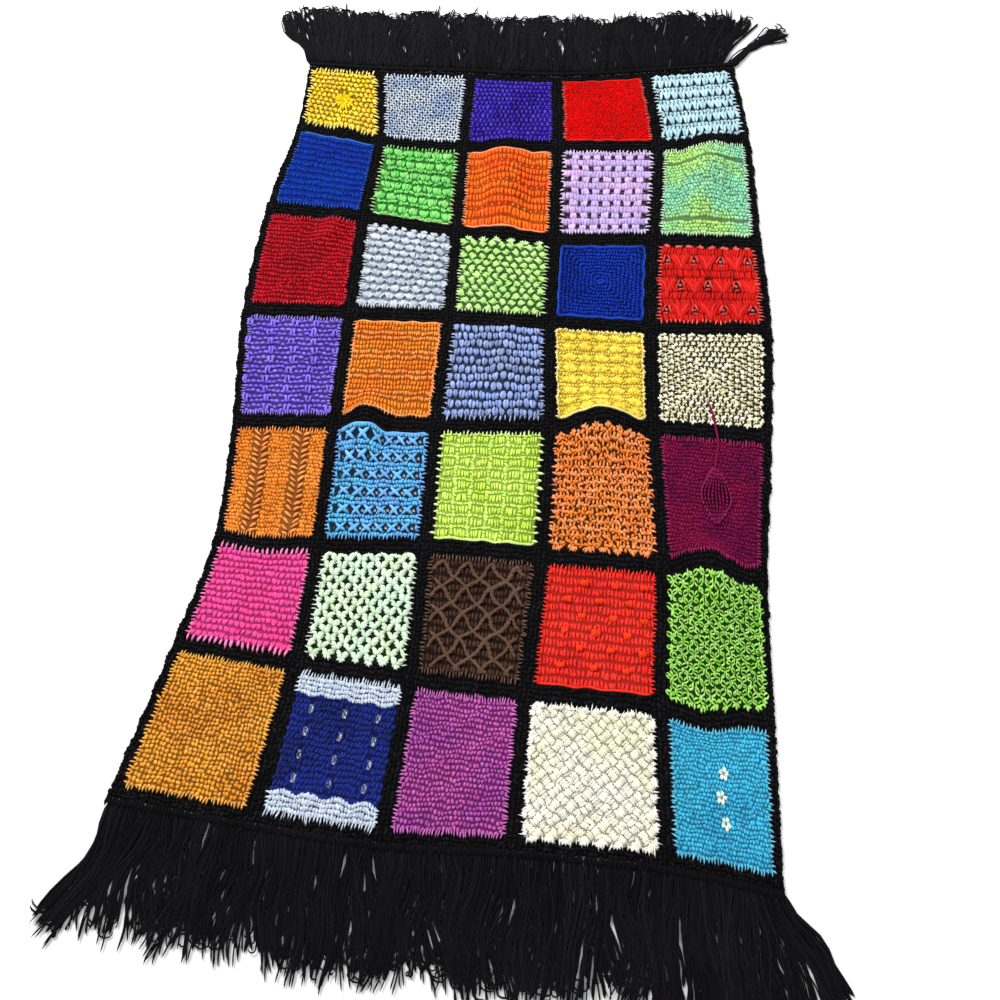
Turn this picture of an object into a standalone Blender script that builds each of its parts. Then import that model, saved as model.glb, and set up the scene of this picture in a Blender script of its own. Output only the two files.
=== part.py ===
"""A crochet sampler blanket of thirty-five squares, laid out flat on the floor.

Five columns and seven rows of squares, each worked in its own stitch and colour, are
joined by black bands and finished with a long black fringe at both ends. The squares,
the joined bands, the two fringes and a small leaf with its yarn tail are separate solids.
Metres, +Z up; the head end is towards +Y and the underside rests on z = 0.

A place in the cloth is given by "column" (0 at the left side's band, 5 at the right) and
"row" (0 at the head end's band, 7 at the foot end). floor_place() and fold_height() say
where that place lies on the floor and how far a fold lifts it.
"""
import math

import bmesh
import bpy
import numpy as np

# The blanket before it is laid out
COLUMNS = 5
ROWS = 7
PITCH = 0.216            # from one band's middle to the next
SQUARE = 0.184           # side of one crochet square
BORDER = 0.018           # black border outside the outermost squares
CLOTH = 0.0045           # thickness of the crochet
GAP = 0.0003             # between two pieces that are sewn together
SEGMENTS = 5             # facets along one side of a square

# Fringe
STRIP = 0.008            # the knotted heads of the fringe, beside the border
LOCKS_PER_FACET = 2      # but one on each border facet
HEAD_FRINGE = 0.165
FOOT_FRINGE = 0.200
HEAD_TAPER = -0.05       # share by which the locks grow from the middle to the right
FOOT_TAPER = 0.07
LOCK_HALF_WIDTH = 0.0050
TIP_HALF_WIDTH = 0.0025
LOCK_HEIGHT = 0.0060
LOCK_BEND = 0.40         # where along its length a lock bends
FAN_ANGLE = math.radians(32)
SWAY_ANGLE = math.radians(2.5)
CLUMP = 0.0025           # how far the tips of three locks are drawn together

# Where the bands cross, in millimetres on the floor from the blanket's middle. A row is one
# cross band, head end first; a column is one lengthwise band, left side first.
CROSSING_X = (
    (-475, -315, -110, 80, 275, 462),
    (-475, -290, -110, 92, 302, 490),
    (-505, -298, -104, 95, 295, 505),
    (-510, -296, -100, 96, 292, 517),
    (-485, -293, -102, 108, 298, 508),
    (-475, -288, -98, 107, 316, 491),
    (-508, -295, -98, 94, 315, 493),
    (-562, -325, -115, 88, 325, 496),
)
CROSSING_Y = (
    (783, 772, 768, 762, 778, 800),
    (610, 572, 560, 568, 574, 598),
    (385, 366, 338, 326, 332, 331),
    (134, 135, 135, 130, 125, 131),
    (-113, -107, -103, -96, -90, -98),
    (-346, -349, -342, -347, -353, -367),
    (-537, -560, -575, -585, -594, -606),
    (-790, -812, -827, -824, -830, -852),
)
SHIFT = (0.030, 0.054)   # puts the middle of the whole, fringe included, at the origin

# Soft folds and pulls. place: column and row of the middle; run: half its length, in squares
# across and down; half_width in squares; height of its crest; push towards the head end.
FOLDS = (
    # column, row, run_across, run_down, half_width, height, push
    (4.50, 1.35, -0.16, 0.62, 0.31, 0.026, 0.000),
    (2.47, 1.48, 0.02, 0.80, 0.31, 0.029, 0.000),
    (3.15, 1.45, 0.00, 0.36, 0.12, 0.006, 0.000),
    (0.60, 0.95, 0.00, 0.24, 0.26, 0.008, 0.000),
    (0.72, 2.14, -0.18, 0.32, 0.16, 0.013, 0.000),
    (2.58, 3.45, 0.02, 0.46, 0.14, 0.009, 0.000),
    (1.31, 4.02, -0.14, 0.34, 0.26, 0.022, 0.012),
    (1.22, 4.60, -0.08, 0.46, 0.17, 0.010, 0.000),
    (3.50, 4.00, 0.00, 0.34, 0.42, 0.022, 0.016),
    (4.42, 5.00, 0.00, 0.28, 0.37, 0.016, 0.018),
    (0.50, 5.00, 0.00, 0.26, 0.42, 0.004, -0.008),
    (4.38, 6.00, 0.00, 0.26, 0.36, 0.004, -0.014),
)

# The squares, head end first, each row from left to right: name and yarn colour (sRGB).
SQUARES = (
    (("yellow_sunburst", (236, 200, 30)), ("blue_marl_mesh", (170, 186, 208)),
     ("indigo_flecks", (62, 40, 165)), ("red_close_stitch", (212, 10, 8)),
     ("pale_blue_shells", (168, 212, 226))),
    (("royal_blue_ribs", (16, 56, 156)), ("green_popcorn", (96, 190, 88)),
     ("orange_waves", (250, 96, 22)), ("lavender_eyelets", (194, 168, 212)),
     ("sea_marl_frame", (140, 205, 150))),
    (("crimson_ribs", (155, 12, 28)), ("silver_shells", (182, 192, 204)),
     ("lime_lattice", (160, 214, 120)), ("navy_rounds", (18, 40, 130)),
     ("red_fans", (214, 34, 26))),
    (("violet_basket", (102, 80, 190)), ("orange_boxes", (232, 122, 34)),
     ("blue_bobbles", (112, 128, 172)), ("yellow_scales", (236, 208, 74)),
     ("cream_rounds", (224, 214, 176))),
    (("ochre_chevrons", (206, 122, 44)), ("sky_crosses", (84, 152, 208)),
     ("lime_basket", (182, 216, 84)), ("rust_stars", (206, 112, 54)),
     ("plum_plain", (104, 18, 54))),
    (("pink_clusters", (236, 70, 140)), ("mint_moons", (196, 220, 190)),
     ("brown_cables", (66, 46, 38)), ("red_dots", (206, 46, 34)),
     ("green_net", (112, 164, 58))),
    (("gold_moss", (200, 134, 46)), ("navy_lenses", (28, 44, 116)),
     ("magenta_seed", (146, 62, 130)), ("ivory_trellis", (234, 231, 214)),
     ("turquoise_plain", (58, 152, 192))),
)
BLACK_YARN = (20, 18, 21)
LEAF_YARN = (124, 24, 66)
YARN_ROUGHNESS = 0.85

# The gaps that are cut through, by the square's name: gap columns and rows, gap size, and
# which of them are open. "every" opens all, "fans" leaves out every other one.
OPEN_WORK = {
    # name: (columns, rows, gap_width, gap_length, which)
    "lavender_eyelets": (8, 7, 0.0056, 0.0054, "every"),
    "red_fans": (7, 3, 0.0085, 0.0100, "fans"),
    "cream_rounds": (5, 5, 0.0055, 0.0055, "every"),
    "sky_crosses": (7, 6, 0.0080, 0.0085, "every"),
    "rust_stars": (4, 5, 0.0050, 0.0060, "every"),
    "mint_moons": (5, 5, 0.0075, 0.0060, "every"),
    "green_net": (4, 6, 0.0065, 0.0060, "every"),
    "navy_lenses": (3, 4, 0.0060, 0.0090, "every"),
}
LENS_MARGIN = 0.030      # pale band at each end of the navy square, which has no gaps
CABLE_STEPS = 12         # grid of the cabled square; a cable crosses every fourth line
CABLE_RELIEF = 0.0022
CHEVRON_COLUMNS = (0.28, 0.72)   # middles of the two raised columns, as shares of the side
CHEVRON_HALF_WIDTH = 0.13
CHEVRON_ROWS = 14
CHEVRON_RELIEF = 0.0014

# Leaf sewn on the plum square, and the yarn tail at its tip
LEAF_PLACE = (4.525, 4.483)      # column and row of its middle
LEAF_LENGTH = 0.088
LEAF_WIDTH = 0.060
LEAF_THICKNESS = 0.0022
RIB_RELIEF = 0.0012
LEAF_STEPS = 8
TAIL_DIAMETER = 0.0040
TAIL_SAMPLES = 24
# The tail's route in the cloth: metres across and along from the leaf's tip.
TAIL_ROUTE = (
    (0.000, 0.000), (0.002, 0.012), (0.005, 0.027), (0.007, 0.043),
    (0.004, 0.061), (0.000, 0.080), (-0.004, 0.099), (-0.010, 0.114),
)


def spline(table, place):
    """Smooth curve through evenly spaced values (last axis kept), straight past its ends."""
    table = np.asarray(table, float)
    first = 2 * table[:1] - table[1:2]
    last = 2 * table[-1:] - table[-2:-1]
    padded = np.concatenate([first, table, last])
    index = np.clip(np.floor(place), 0, len(table) - 2).astype(int)
    t = place - index
    inside = np.clip(t, 0, 1)
    p0, p1, p2, p3 = (padded[index + k] for k in range(4))
    curve = p1 + 0.5 * inside * (p2 - p0 + inside * (
        2 * p0 - 5 * p1 + 4 * p2 - p3 + inside * (3 * (p1 - p2) + p3 - p0)))
    return curve + (t - inside) * np.where(t < 0, p1 - p0, p2 - p1)


def crossing_surface(table, column, row):
    """The table of crossings read at any column and row of the blanket."""
    lines = np.array([spline(table_row, column) for table_row in np.asarray(table, float)])
    picked = np.zeros_like(column)
    for place in range(len(column)):
        picked[place] = spline(lines[:, place], row[place:place + 1])[0]
    return picked / 1000


def bump(share):
    """1 in the middle, falling smoothly to 0 at a share of 1."""
    return np.clip(1 - share ** 2, 0, None) ** 2


def fold_shares(column, row):
    """Each fold's share of its own crest at the places given."""
    for middle_c, middle_r, run_c, run_r, half_width, height, push in FOLDS:
        run = math.hypot(run_c, run_r)
        along = ((column - middle_c) * run_c + (row - middle_r) * run_r) / run
        across = ((column - middle_c) * run_r - (row - middle_r) * run_c) / run
        yield bump(along / run) * bump(across / half_width), height, push


def smooth_lie(u, v):
    """World position of the cloth's underside at the places u, v of the flat blanket."""
    column = u / PITCH + COLUMNS / 2
    row = ROWS / 2 - v / PITCH
    x = crossing_surface(CROSSING_X, column, row) + SHIFT[0]
    y = crossing_surface(CROSSING_Y, column, row) + SHIFT[1]
    z = np.zeros_like(x)
    for share, height, push in fold_shares(column, row):
        z = z + share * height
        y = y + share * push
    return np.stack([x, y, z], axis=-1)


def window(index, count):
    """Low and high side of one square's opening in the bands, with the sewing gap."""
    middle = (index - (count - 1) / 2) * PITCH
    return middle - SQUARE / 2 - GAP, middle + SQUARE / 2 + GAP


def facet_lines(count):
    """Lines across the whole blanket that its facets are bent along."""
    reach = (count - 1) / 2 * PITCH + SQUARE / 2 + BORDER
    lines = [-reach]
    for index in range(count):
        lines.extend(np.linspace(*window(index, count), SEGMENTS + 1))
    return np.array(lines + [reach])


U_LINES = facet_lines(COLUMNS)
V_LINES = facet_lines(ROWS)
LINE_U, LINE_V = np.meshgrid(U_LINES, V_LINES, indexing="ij")
FACET_CORNERS = smooth_lie(LINE_U.ravel(), LINE_V.ravel()).reshape(LINE_U.shape + (3,))


def lie(u, v, height=0.0):
    """World position of a point of the cloth, straight between the facet lines."""
    i = int(np.clip(np.searchsorted(U_LINES, u) - 1, 0, len(U_LINES) - 2))
    j = int(np.clip(np.searchsorted(V_LINES, v) - 1, 0, len(V_LINES) - 2))
    s = (u - U_LINES[i]) / (U_LINES[i + 1] - U_LINES[i])
    t = (v - V_LINES[j]) / (V_LINES[j + 1] - V_LINES[j])
    near = FACET_CORNERS[i, j] * (1 - s) + FACET_CORNERS[i + 1, j] * s
    far = FACET_CORNERS[i, j + 1] * (1 - s) + FACET_CORNERS[i + 1, j + 1] * s
    place = near * (1 - t) + far * t
    return place[0], place[1], place[2] + height


def linear(colour):
    """Linear light values of an sRGB colour given in 0 to 255."""
    shares = [channel / 255 for channel in colour]
    return [share / 12.92 if share <= 0.04045 else ((share + 0.055) / 1.055) ** 2.4
            for share in shares]


def yarn_material(name, colour):
    material = bpy.data.materials.new(name)
    material.use_nodes = True
    shader = material.node_tree.nodes["Principled BSDF"]
    shader.inputs["Base Color"].default_value = (*linear(colour), 1.0)
    shader.inputs["Roughness"].default_value = YARN_ROUGHNESS
    shader.inputs["Metallic"].default_value = 0.0
    return material


def add_object(name, bm, material, collection):
    bmesh.ops.recalc_face_normals(bm, faces=bm.faces)
    mesh = bpy.data.meshes.new(name)
    bm.to_mesh(mesh)
    bm.free()
    mesh.materials.append(material)
    part = bpy.data.objects.new(name, mesh)
    collection.objects.link(part)
    return part


def flat_grid(u_lines, v_lines):
    """A flat grid whose lines stand at the given places of the blanket."""
    bm = bmesh.new()
    cells_u, cells_v = len(u_lines) - 1, len(v_lines) - 1
    bmesh.ops.create_grid(bm, x_segments=cells_u, y_segments=cells_v, size=0.5)
    for vert in bm.verts:
        i = round((vert.co.x + 0.5) * cells_u)
        j = round((vert.co.y + 0.5) * cells_v)
        vert.co = (u_lines[i], v_lines[j], 0.0)
    return bm


def remove_cells(bm, inside):
    """Take out the cells whose middle answers to inside(u, v)."""
    out = [face for face in bm.faces if inside(*face.calc_center_median()[:2])]
    bmesh.ops.delete(bm, geom=out, context="FACES")


def match_neighbour(bm, u_span, v_span):
    """Give the outer edges of a square the corners that the band beside it has."""
    for axis, lines, span in ((0, U_LINES, u_span), (1, V_LINES, v_span)):
        other = v_span if axis == 0 else u_span
        for line in lines:
            if not span[0] + GAP < line < span[1] - GAP:
                continue
            for edge in list(bm.edges):
                start, end = edge.verts[0].co, edge.verts[1].co
                at_side = any(abs(start[1 - axis] - side) < GAP / 4
                              and abs(end[1 - axis] - side) < GAP / 4 for side in other)
                crosses = (start[axis] - line) * (end[axis] - line) < 0
                if at_side and crosses:
                    share = (line - start[axis]) / (end[axis] - start[axis])
                    bmesh.utils.edge_split(edge, edge.verts[0], share)


def thicken_and_lay(bm, thickness, relief=None, under=0.0):
    """Extrude the flat work upwards and lay every point of it where the cloth lies."""
    many_sided = [face for face in bm.faces if len(face.verts) > 4]
    bmesh.ops.triangulate(bm, faces=many_sided, ngon_method="BEAUTY")
    grown = bmesh.ops.extrude_face_region(bm, geom=bm.faces[:])
    top = {item for item in grown["geom"] if isinstance(item, bmesh.types.BMVert)}
    for vert in bm.verts:
        u, v = vert.co.x, vert.co.y
        height = under
        if vert in top:
            height += thickness + (relief(u, v) if relief else 0.0)
        vert.co = lie(u, v, height)


def gap_lines(low, high, count, gap, margin=0.0):
    """Lines for evenly spaced gaps between low and high, with solid work around them."""
    period = (high - low - 2 * margin) / count
    lines = [low]
    for index in range(count):
        middle = low + margin + (index + 0.5) * period
        lines.extend((middle - gap / 2, middle + gap / 2))
    return np.array(lines + [high])


def open_square(name, u_span, v_span):
    """A square with its larger gaps cut through."""
    columns, rows, gap_width, gap_length, which = OPEN_WORK[name]
    margin = LENS_MARGIN if name == "navy_lenses" else 0.0
    u_lines = gap_lines(*u_span, columns, gap_width)
    v_lines = gap_lines(*v_span, rows, gap_length, margin)
    bm = flat_grid(u_lines, v_lines)

    def is_gap(u, v):
        i = int(np.searchsorted(u_lines, u)) - 1
        j = int(np.searchsorted(v_lines, v)) - 1
        chosen = which == "every" or (i // 2 + j // 2) % 2 == 0
        return i % 2 == 1 and j % 2 == 1 and chosen

    remove_cells(bm, is_gap)
    match_neighbour(bm, u_span, v_span)
    thicken_and_lay(bm, CLOTH)
    return bm


def cable_square(u_span, v_span):
    """A square with raised cables that cross in diamonds."""
    steps = CABLE_STEPS
    bm = flat_grid(np.linspace(*u_span, steps + 1), np.linspace(*v_span, steps + 1))
    diagonals = []
    for face in bm.faces:
        u, v = face.calc_center_median()[:2]
        i = int((u - u_span[0]) / SQUARE * steps)
        j = int((v - v_span[0]) / SQUARE * steps)
        diagonals.append((face, i, j))
    for face, i, j in diagonals:
        rising = (i - j) % 4 in (0, 1)
        corners = sorted(face.verts, key=lambda vert: (vert.co.y, vert.co.x))
        pair = (corners[0], corners[3]) if rising else (corners[1], corners[2])
        bmesh.utils.face_split(face, *pair)

    def relief(u, v):
        i = round((u - u_span[0]) / SQUARE * steps)
        j = round((v - v_span[0]) / SQUARE * steps)
        rim = i in (0, steps) or j in (0, steps)
        on_cable = (i + j) % 4 == 0 or (i - j) % 4 == 0
        return CABLE_RELIEF if on_cable and not rim else 0.0

    match_neighbour(bm, u_span, v_span)
    thicken_and_lay(bm, CLOTH, relief)
    return bm


def chevron_square(u_span, v_span):
    """A square with two raised lengthwise columns of stacked chevrons."""
    left, right = CHEVRON_COLUMNS
    shares = [0.0]
    for middle in (left, right):
        shares += [middle - CHEVRON_HALF_WIDTH, middle, middle + CHEVRON_HALF_WIDTH]
    u_lines = u_span[0] + np.array(shares + [1.0]) * (u_span[1] - u_span[0])
    v_lines = np.linspace(*v_span, CHEVRON_ROWS + 1)
    bm = flat_grid(u_lines, v_lines)

    def relief(u, v):
        line = int(np.argmin(np.abs(u_lines - u)))
        step = int(np.argmin(np.abs(v_lines - v)))
        if line in (0, len(u_lines) - 1) or step in (0, CHEVRON_ROWS):
            return 0.0
        in_middle = line in (2, 5)
        return CHEVRON_RELIEF if (step + in_middle) % 2 == 0 else 0.0

    match_neighbour(bm, u_span, v_span)
    thicken_and_lay(bm, CLOTH, relief)
    return bm


def plain_square(u_span, v_span, column, row):
    """A square of close work, bent along the same lines as the bands beside it."""
    u_lines = np.linspace(*window(column, COLUMNS), SEGMENTS + 1)
    v_lines = np.linspace(*window(row, ROWS), SEGMENTS + 1)
    u_lines[0], u_lines[-1] = u_span
    v_lines[0], v_lines[-1] = v_span
    bm = flat_grid(u_lines, v_lines)
    thicken_and_lay(bm, CLOTH)
    return bm


def build_squares(collection):
    for row, squares in enumerate(SQUARES):
        for column, (name, colour) in enumerate(squares):
            low_u, high_u = window(column, COLUMNS)
            low_v, high_v = window(ROWS - 1 - row, ROWS)
            u_span = (low_u + GAP, high_u - GAP)
            v_span = (low_v + GAP, high_v - GAP)
            if name in OPEN_WORK:
                bm = open_square(name, u_span, v_span)
            elif name == "brown_cables":
                bm = cable_square(u_span, v_span)
            elif name == "ochre_chevrons":
                bm = chevron_square(u_span, v_span)
            else:
                bm = plain_square(u_span, v_span, column, ROWS - 1 - row)
            node = f"square_{row + 1}{column + 1}_{name}"
            add_object(node, bm, yarn_material(name, colour), collection)


def build_bands(material, collection):
    """The black bands between the squares and the border around them, in one piece."""
    u_windows = [window(index, COLUMNS) for index in range(COLUMNS)]
    v_windows = [window(index, ROWS) for index in range(ROWS)]

    def in_window(u, v):
        return (any(low < u < high for low, high in u_windows)
                and any(low < v < high for low, high in v_windows))

    bm = flat_grid(U_LINES, V_LINES)
    remove_cells(bm, in_window)
    thicken_and_lay(bm, CLOTH)
    add_object("joining_bands", bm, material, collection)


def lock_sections(index, count, root, end):
    """Middle, half width and height of one lock at its bend and at its tip."""
    share = 2 * (index + 0.5) / count - 1
    reach, taper = (HEAD_FRINGE, HEAD_TAPER) if end > 0 else (FOOT_FRINGE, FOOT_TAPER)
    fan = FAN_ANGLE * share ** 5 + SWAY_ANGLE * math.sin(0.9 * index)
    ragged = 0.05 * math.sin(2.3 * index) + 0.04 * math.sin(0.37 * index + 1)
    length = reach * (1 + taper * share + ragged)
    clump = CLUMP * (1 - index % 3)
    across = math.sin(fan)
    along = end * math.cos(fan)
    bend = (root[0] + across * length * LOCK_BEND, root[1] + along * length * LOCK_BEND)
    tip = (root[0] + across * length + clump, root[1] + along * length)
    return (bend, LOCK_HALF_WIDTH, LOCK_HEIGHT), (tip, TIP_HALF_WIDTH, 0.0)


def build_fringe(name, end, material, collection):
    """A narrow knotted strip beside the border with its locks; end is +1 head, -1 foot."""
    edge = V_LINES[-1] if end > 0 else V_LINES[0]
    near = edge + end * GAP
    u_lines = [U_LINES[0]]
    for low, high in zip(U_LINES[1:-2], U_LINES[2:-1]):
        u_lines.extend(np.linspace(low, high, LOCKS_PER_FACET + 1)[:-1])
    u_lines.extend(U_LINES[-2:])
    v_lines = sorted((near, near + end * STRIP))
    bm = flat_grid(np.array(u_lines), np.array(v_lines))
    thicken_and_lay(bm, CLOTH)

    bm.normal_update()
    strip_y = [lie(u, near + end * STRIP)[1] for u in u_lines]
    low_y, high_y = min(strip_y) - GAP, max(strip_y) + GAP
    outer = [face for face in bm.faces
             if abs(face.normal.z) < 0.5 and face.normal.y * end > 0.5
             and low_y < face.calc_center_median().y < high_y]
    outer.sort(key=lambda face: face.calc_center_median().x)
    roots = [face.calc_center_median().copy() for face in outer]
    for step in range(2):
        grown = bmesh.ops.extrude_discrete_faces(bm, faces=outer)
        outer = sorted(grown["faces"], key=lambda face: face.calc_center_median().x)
        for index, face in enumerate(outer):
            middle, half_width, height = lock_sections(
                index, len(outer), roots[index], end)[step]
            centre = face.calc_center_median().copy()
            for vert in face.verts:
                side = 1 if vert.co.x > centre.x else -1
                level = height if vert.co.z > centre.z else 0.0
                vert.co = (middle[0] + side * half_width, middle[1], level)
    tips = {vert for face in outer for vert in face.verts}
    bmesh.ops.remove_doubles(bm, verts=list(tips), dist=GAP / 10)
    add_object(name, bm, material, collection)


def leaf_half_width(share):
    """Half width of the leaf at a share of its length, 0 at the base and 1 at the tip."""
    return LEAF_WIDTH / 2 * math.sin(math.pi * share) ** 0.75


def build_leaf(material, collection):
    """A pointed leaf with a raised midrib and side ribs, flat on the plum square."""
    middle_u = (LEAF_PLACE[0] - COLUMNS / 2) * PITCH
    middle_v = (ROWS / 2 - LEAF_PLACE[1]) * PITCH
    shares = np.linspace(0.03, 1.0, LEAF_STEPS + 1)
    bm = flat_grid(np.linspace(-1, 1, 5), shares)
    for vert in bm.verts:
        across, share = vert.co.x, vert.co.y
        vert.co = (middle_u + across * leaf_half_width(share),
                   middle_v + (share - 0.5) * LEAF_LENGTH, 0.0)
    bmesh.ops.remove_doubles(bm, verts=bm.verts, dist=GAP / 10)

    def relief(u, v):
        step = round(((v - middle_v) / LEAF_LENGTH + 0.5 - 0.03) / 0.97 * LEAF_STEPS)
        if step in (0, LEAF_STEPS):
            return 0.0
        if abs(u - middle_u) < GAP:
            return RIB_RELIEF
        inner = abs(u - middle_u) < LEAF_WIDTH / 3
        return RIB_RELIEF if inner and step % 2 == 0 else 0.0

    thicken_and_lay(bm, LEAF_THICKNESS, relief, under=CLOTH + GAP)
    add_object("leaf", bm, material, collection)
    return middle_u, middle_v + LEAF_LENGTH / 2


def tail_points(start_u, start_v):
    """Evenly spaced points of the yarn tail's route, on top of the cloth."""
    route = np.array(TAIL_ROUTE)
    places = np.linspace(0, len(route) - 1, TAIL_SAMPLES)
    across = spline(route[:, 0], places) + start_u
    along = spline(route[:, 1], places) + start_v + GAP
    height = CLOTH + GAP + TAIL_DIAMETER / 2
    return [lie(u, v, height) for u, v in zip(across, along)]


def build_tail(start_u, start_v, material, collection):
    """The yarn tail that runs from the leaf's tip over the band to the cream square."""
    points = tail_points(start_u, start_v)
    curve = bpy.data.curves.new("leaf_tail", "CURVE")
    curve.dimensions = "3D"
    route = curve.splines.new("POLY")
    route.points.add(len(points) - 1)
    for point, place in zip(route.points, points):
        point.co = (*place, 1.0)
    curve.bevel_depth = TAIL_DIAMETER / 2
    curve.bevel_resolution = 2
    curve.use_fill_caps = True
    curve.materials.append(material)
    tail = bpy.data.objects.new("leaf_tail", curve)
    collection.objects.link(tail)


def main():
    for old in list(bpy.data.objects):
        bpy.data.objects.remove(old, do_unlink=True)
    collection = bpy.data.collections.new("crochet_sampler_blanket")
    bpy.context.scene.collection.children.link(collection)
    black = yarn_material("black_yarn", BLACK_YARN)
    leaf_yarn = yarn_material("leaf_yarn", LEAF_YARN)
    build_squares(collection)
    build_bands(black, collection)
    build_fringe("fringe_head", 1, black, collection)
    build_fringe("fringe_foot", -1, black, collection)
    tip_u, tip_v = build_leaf(leaf_yarn, collection)
    build_tail(tip_u, tip_v, leaf_yarn, collection)


main()
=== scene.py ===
"""The looks of a crochet sampler blanket that lies flat on a pale floor.

Every square is a thin worked ground with its own stitches on it, made strand by strand.
Black joining work, two fringes, a leaf and its yarn tail complete it. Metres, +Z up. On a
stretch of work a place is in hundredths of its sides, x from the left and y from the head
end, and a strand's radius, heights and jitter are in millimetres.
"""
import math

import bpy
import numpy as np
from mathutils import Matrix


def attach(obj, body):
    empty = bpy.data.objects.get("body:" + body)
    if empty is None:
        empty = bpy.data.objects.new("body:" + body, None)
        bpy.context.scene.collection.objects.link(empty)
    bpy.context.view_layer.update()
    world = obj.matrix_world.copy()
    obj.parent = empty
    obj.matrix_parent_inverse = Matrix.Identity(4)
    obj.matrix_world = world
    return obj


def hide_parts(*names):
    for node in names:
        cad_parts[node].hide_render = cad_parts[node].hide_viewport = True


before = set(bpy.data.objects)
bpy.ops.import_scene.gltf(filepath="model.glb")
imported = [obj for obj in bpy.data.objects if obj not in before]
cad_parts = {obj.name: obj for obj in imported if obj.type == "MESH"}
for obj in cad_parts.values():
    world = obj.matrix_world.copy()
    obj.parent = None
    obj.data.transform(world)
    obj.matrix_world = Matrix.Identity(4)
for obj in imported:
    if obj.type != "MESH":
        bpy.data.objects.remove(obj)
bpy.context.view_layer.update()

# The blanket before it is laid out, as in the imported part
COLUMNS = 5
ROWS = 7
PITCH = 0.216
SQUARE = 0.184
BORDER = 0.018
GAP = 0.0003
HALF_WIDTH = (COLUMNS - 1) / 2 * PITCH + SQUARE / 2 + BORDER
HALF_LENGTH = (ROWS - 1) / 2 * PITCH + SQUARE / 2 + BORDER

# Where the bands cross, in millimetres on the floor; a row is one cross band, head end first.
CROSSING_X = (
    (-475, -315, -110, 80, 275, 462),
    (-475, -290, -110, 92, 302, 490),
    (-505, -298, -104, 95, 295, 505),
    (-510, -296, -100, 96, 292, 517),
    (-485, -293, -102, 108, 298, 508),
    (-475, -288, -98, 107, 316, 491),
    (-508, -295, -98, 94, 315, 493),
    (-562, -325, -115, 88, 325, 496),
)
CROSSING_Y = (
    (783, 772, 768, 762, 778, 800),
    (610, 572, 560, 568, 574, 598),
    (385, 366, 338, 326, 332, 331),
    (134, 135, 135, 130, 125, 131),
    (-113, -107, -103, -96, -90, -98),
    (-346, -349, -342, -347, -353, -367),
    (-537, -560, -575, -585, -594, -606),
    (-790, -812, -827, -824, -830, -852),
)
SHIFT = (0.030, 0.054)

# Soft folds and pulls: middle, half the run in squares, half width, crest, push to the head
FOLDS = (
    # column, row, run_across, run_down, half_width, height, push
    (4.50, 1.35, -0.16, 0.62, 0.31, 0.026, 0.000),
    (2.47, 1.48, 0.02, 0.80, 0.31, 0.029, 0.000),
    (3.15, 1.45, 0.00, 0.36, 0.12, 0.006, 0.000),
    (0.60, 0.95, 0.00, 0.24, 0.26, 0.008, 0.000),
    (0.72, 2.14, -0.18, 0.32, 0.16, 0.013, 0.000),
    (2.58, 3.45, 0.02, 0.46, 0.14, 0.009, 0.000),
    (1.31, 4.02, -0.14, 0.34, 0.26, 0.022, 0.012),
    (1.22, 4.60, -0.08, 0.46, 0.17, 0.010, 0.000),
    (3.50, 4.00, 0.00, 0.34, 0.42, 0.022, 0.016),
    (4.42, 5.00, 0.00, 0.28, 0.37, 0.016, 0.018),
    (0.50, 5.00, 0.00, 0.26, 0.42, 0.004, -0.008),
    (4.38, 6.00, 0.00, 0.26, 0.36, 0.004, -0.014),
)

# Heights above the underside of the cloth, and the yarn
BAND_GROUND = (0.0003, 0.0017)
SQUARE_GROUND = (0.0018, 0.0028)
CLOTH = 0.0045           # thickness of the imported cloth, which the leaf and tail lie on
PLY_LENGTH = 0.006       # length of one turn of the yarn's two plies
FLATNESS = 0.85          # height of a strand over its width
WANDER = 0.0010          # how far hand-made stitches stray from an even grid

# Heights of stitches, in millimetres
MM = 0.001
LOW = 2.8                # where a stitch dives into the work
HIGH = 4.8               # the top of its bow
BED = 1.2                # how far all stitches are drawn down into the ground
TOOTH = (7.4, 6.2)       # a tooth's middle and ends, on top of the black work

# Gaps through a square, where the imported part has them; the yarn's loose loops close in
# on each gap or pull it open, which leaves this share of its size. The darkened ground that
# shows round each gap is painted shade.
OPEN_WORK = {
    # pattern: (columns, rows, gap_width, gap_length, margin, share)
    "lavender_eyelets": (8, 7, 0.0056, 0.0054, 0.0, 0.62),
    "red_fans": (7, 3, 0.0085, 0.0100, 0.0, 0.62),
    "cream_rounds": (5, 5, 0.0055, 0.0055, 0.0, 0.62),
    "sky_crosses": (7, 6, 0.0080, 0.0085, 0.0, 0.62),
    "rust_stars": (4, 5, 0.0050, 0.0060, 0.0, 0.62),
    "mint_moons": (5, 5, 0.0075, 0.0060, 0.0, 0.62),
    "green_net": (4, 6, 0.0065, 0.0060, 0.0, 0.62),
    "navy_lenses": (3, 4, 0.0060, 0.0090, 0.030, 1.35),
}

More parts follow.
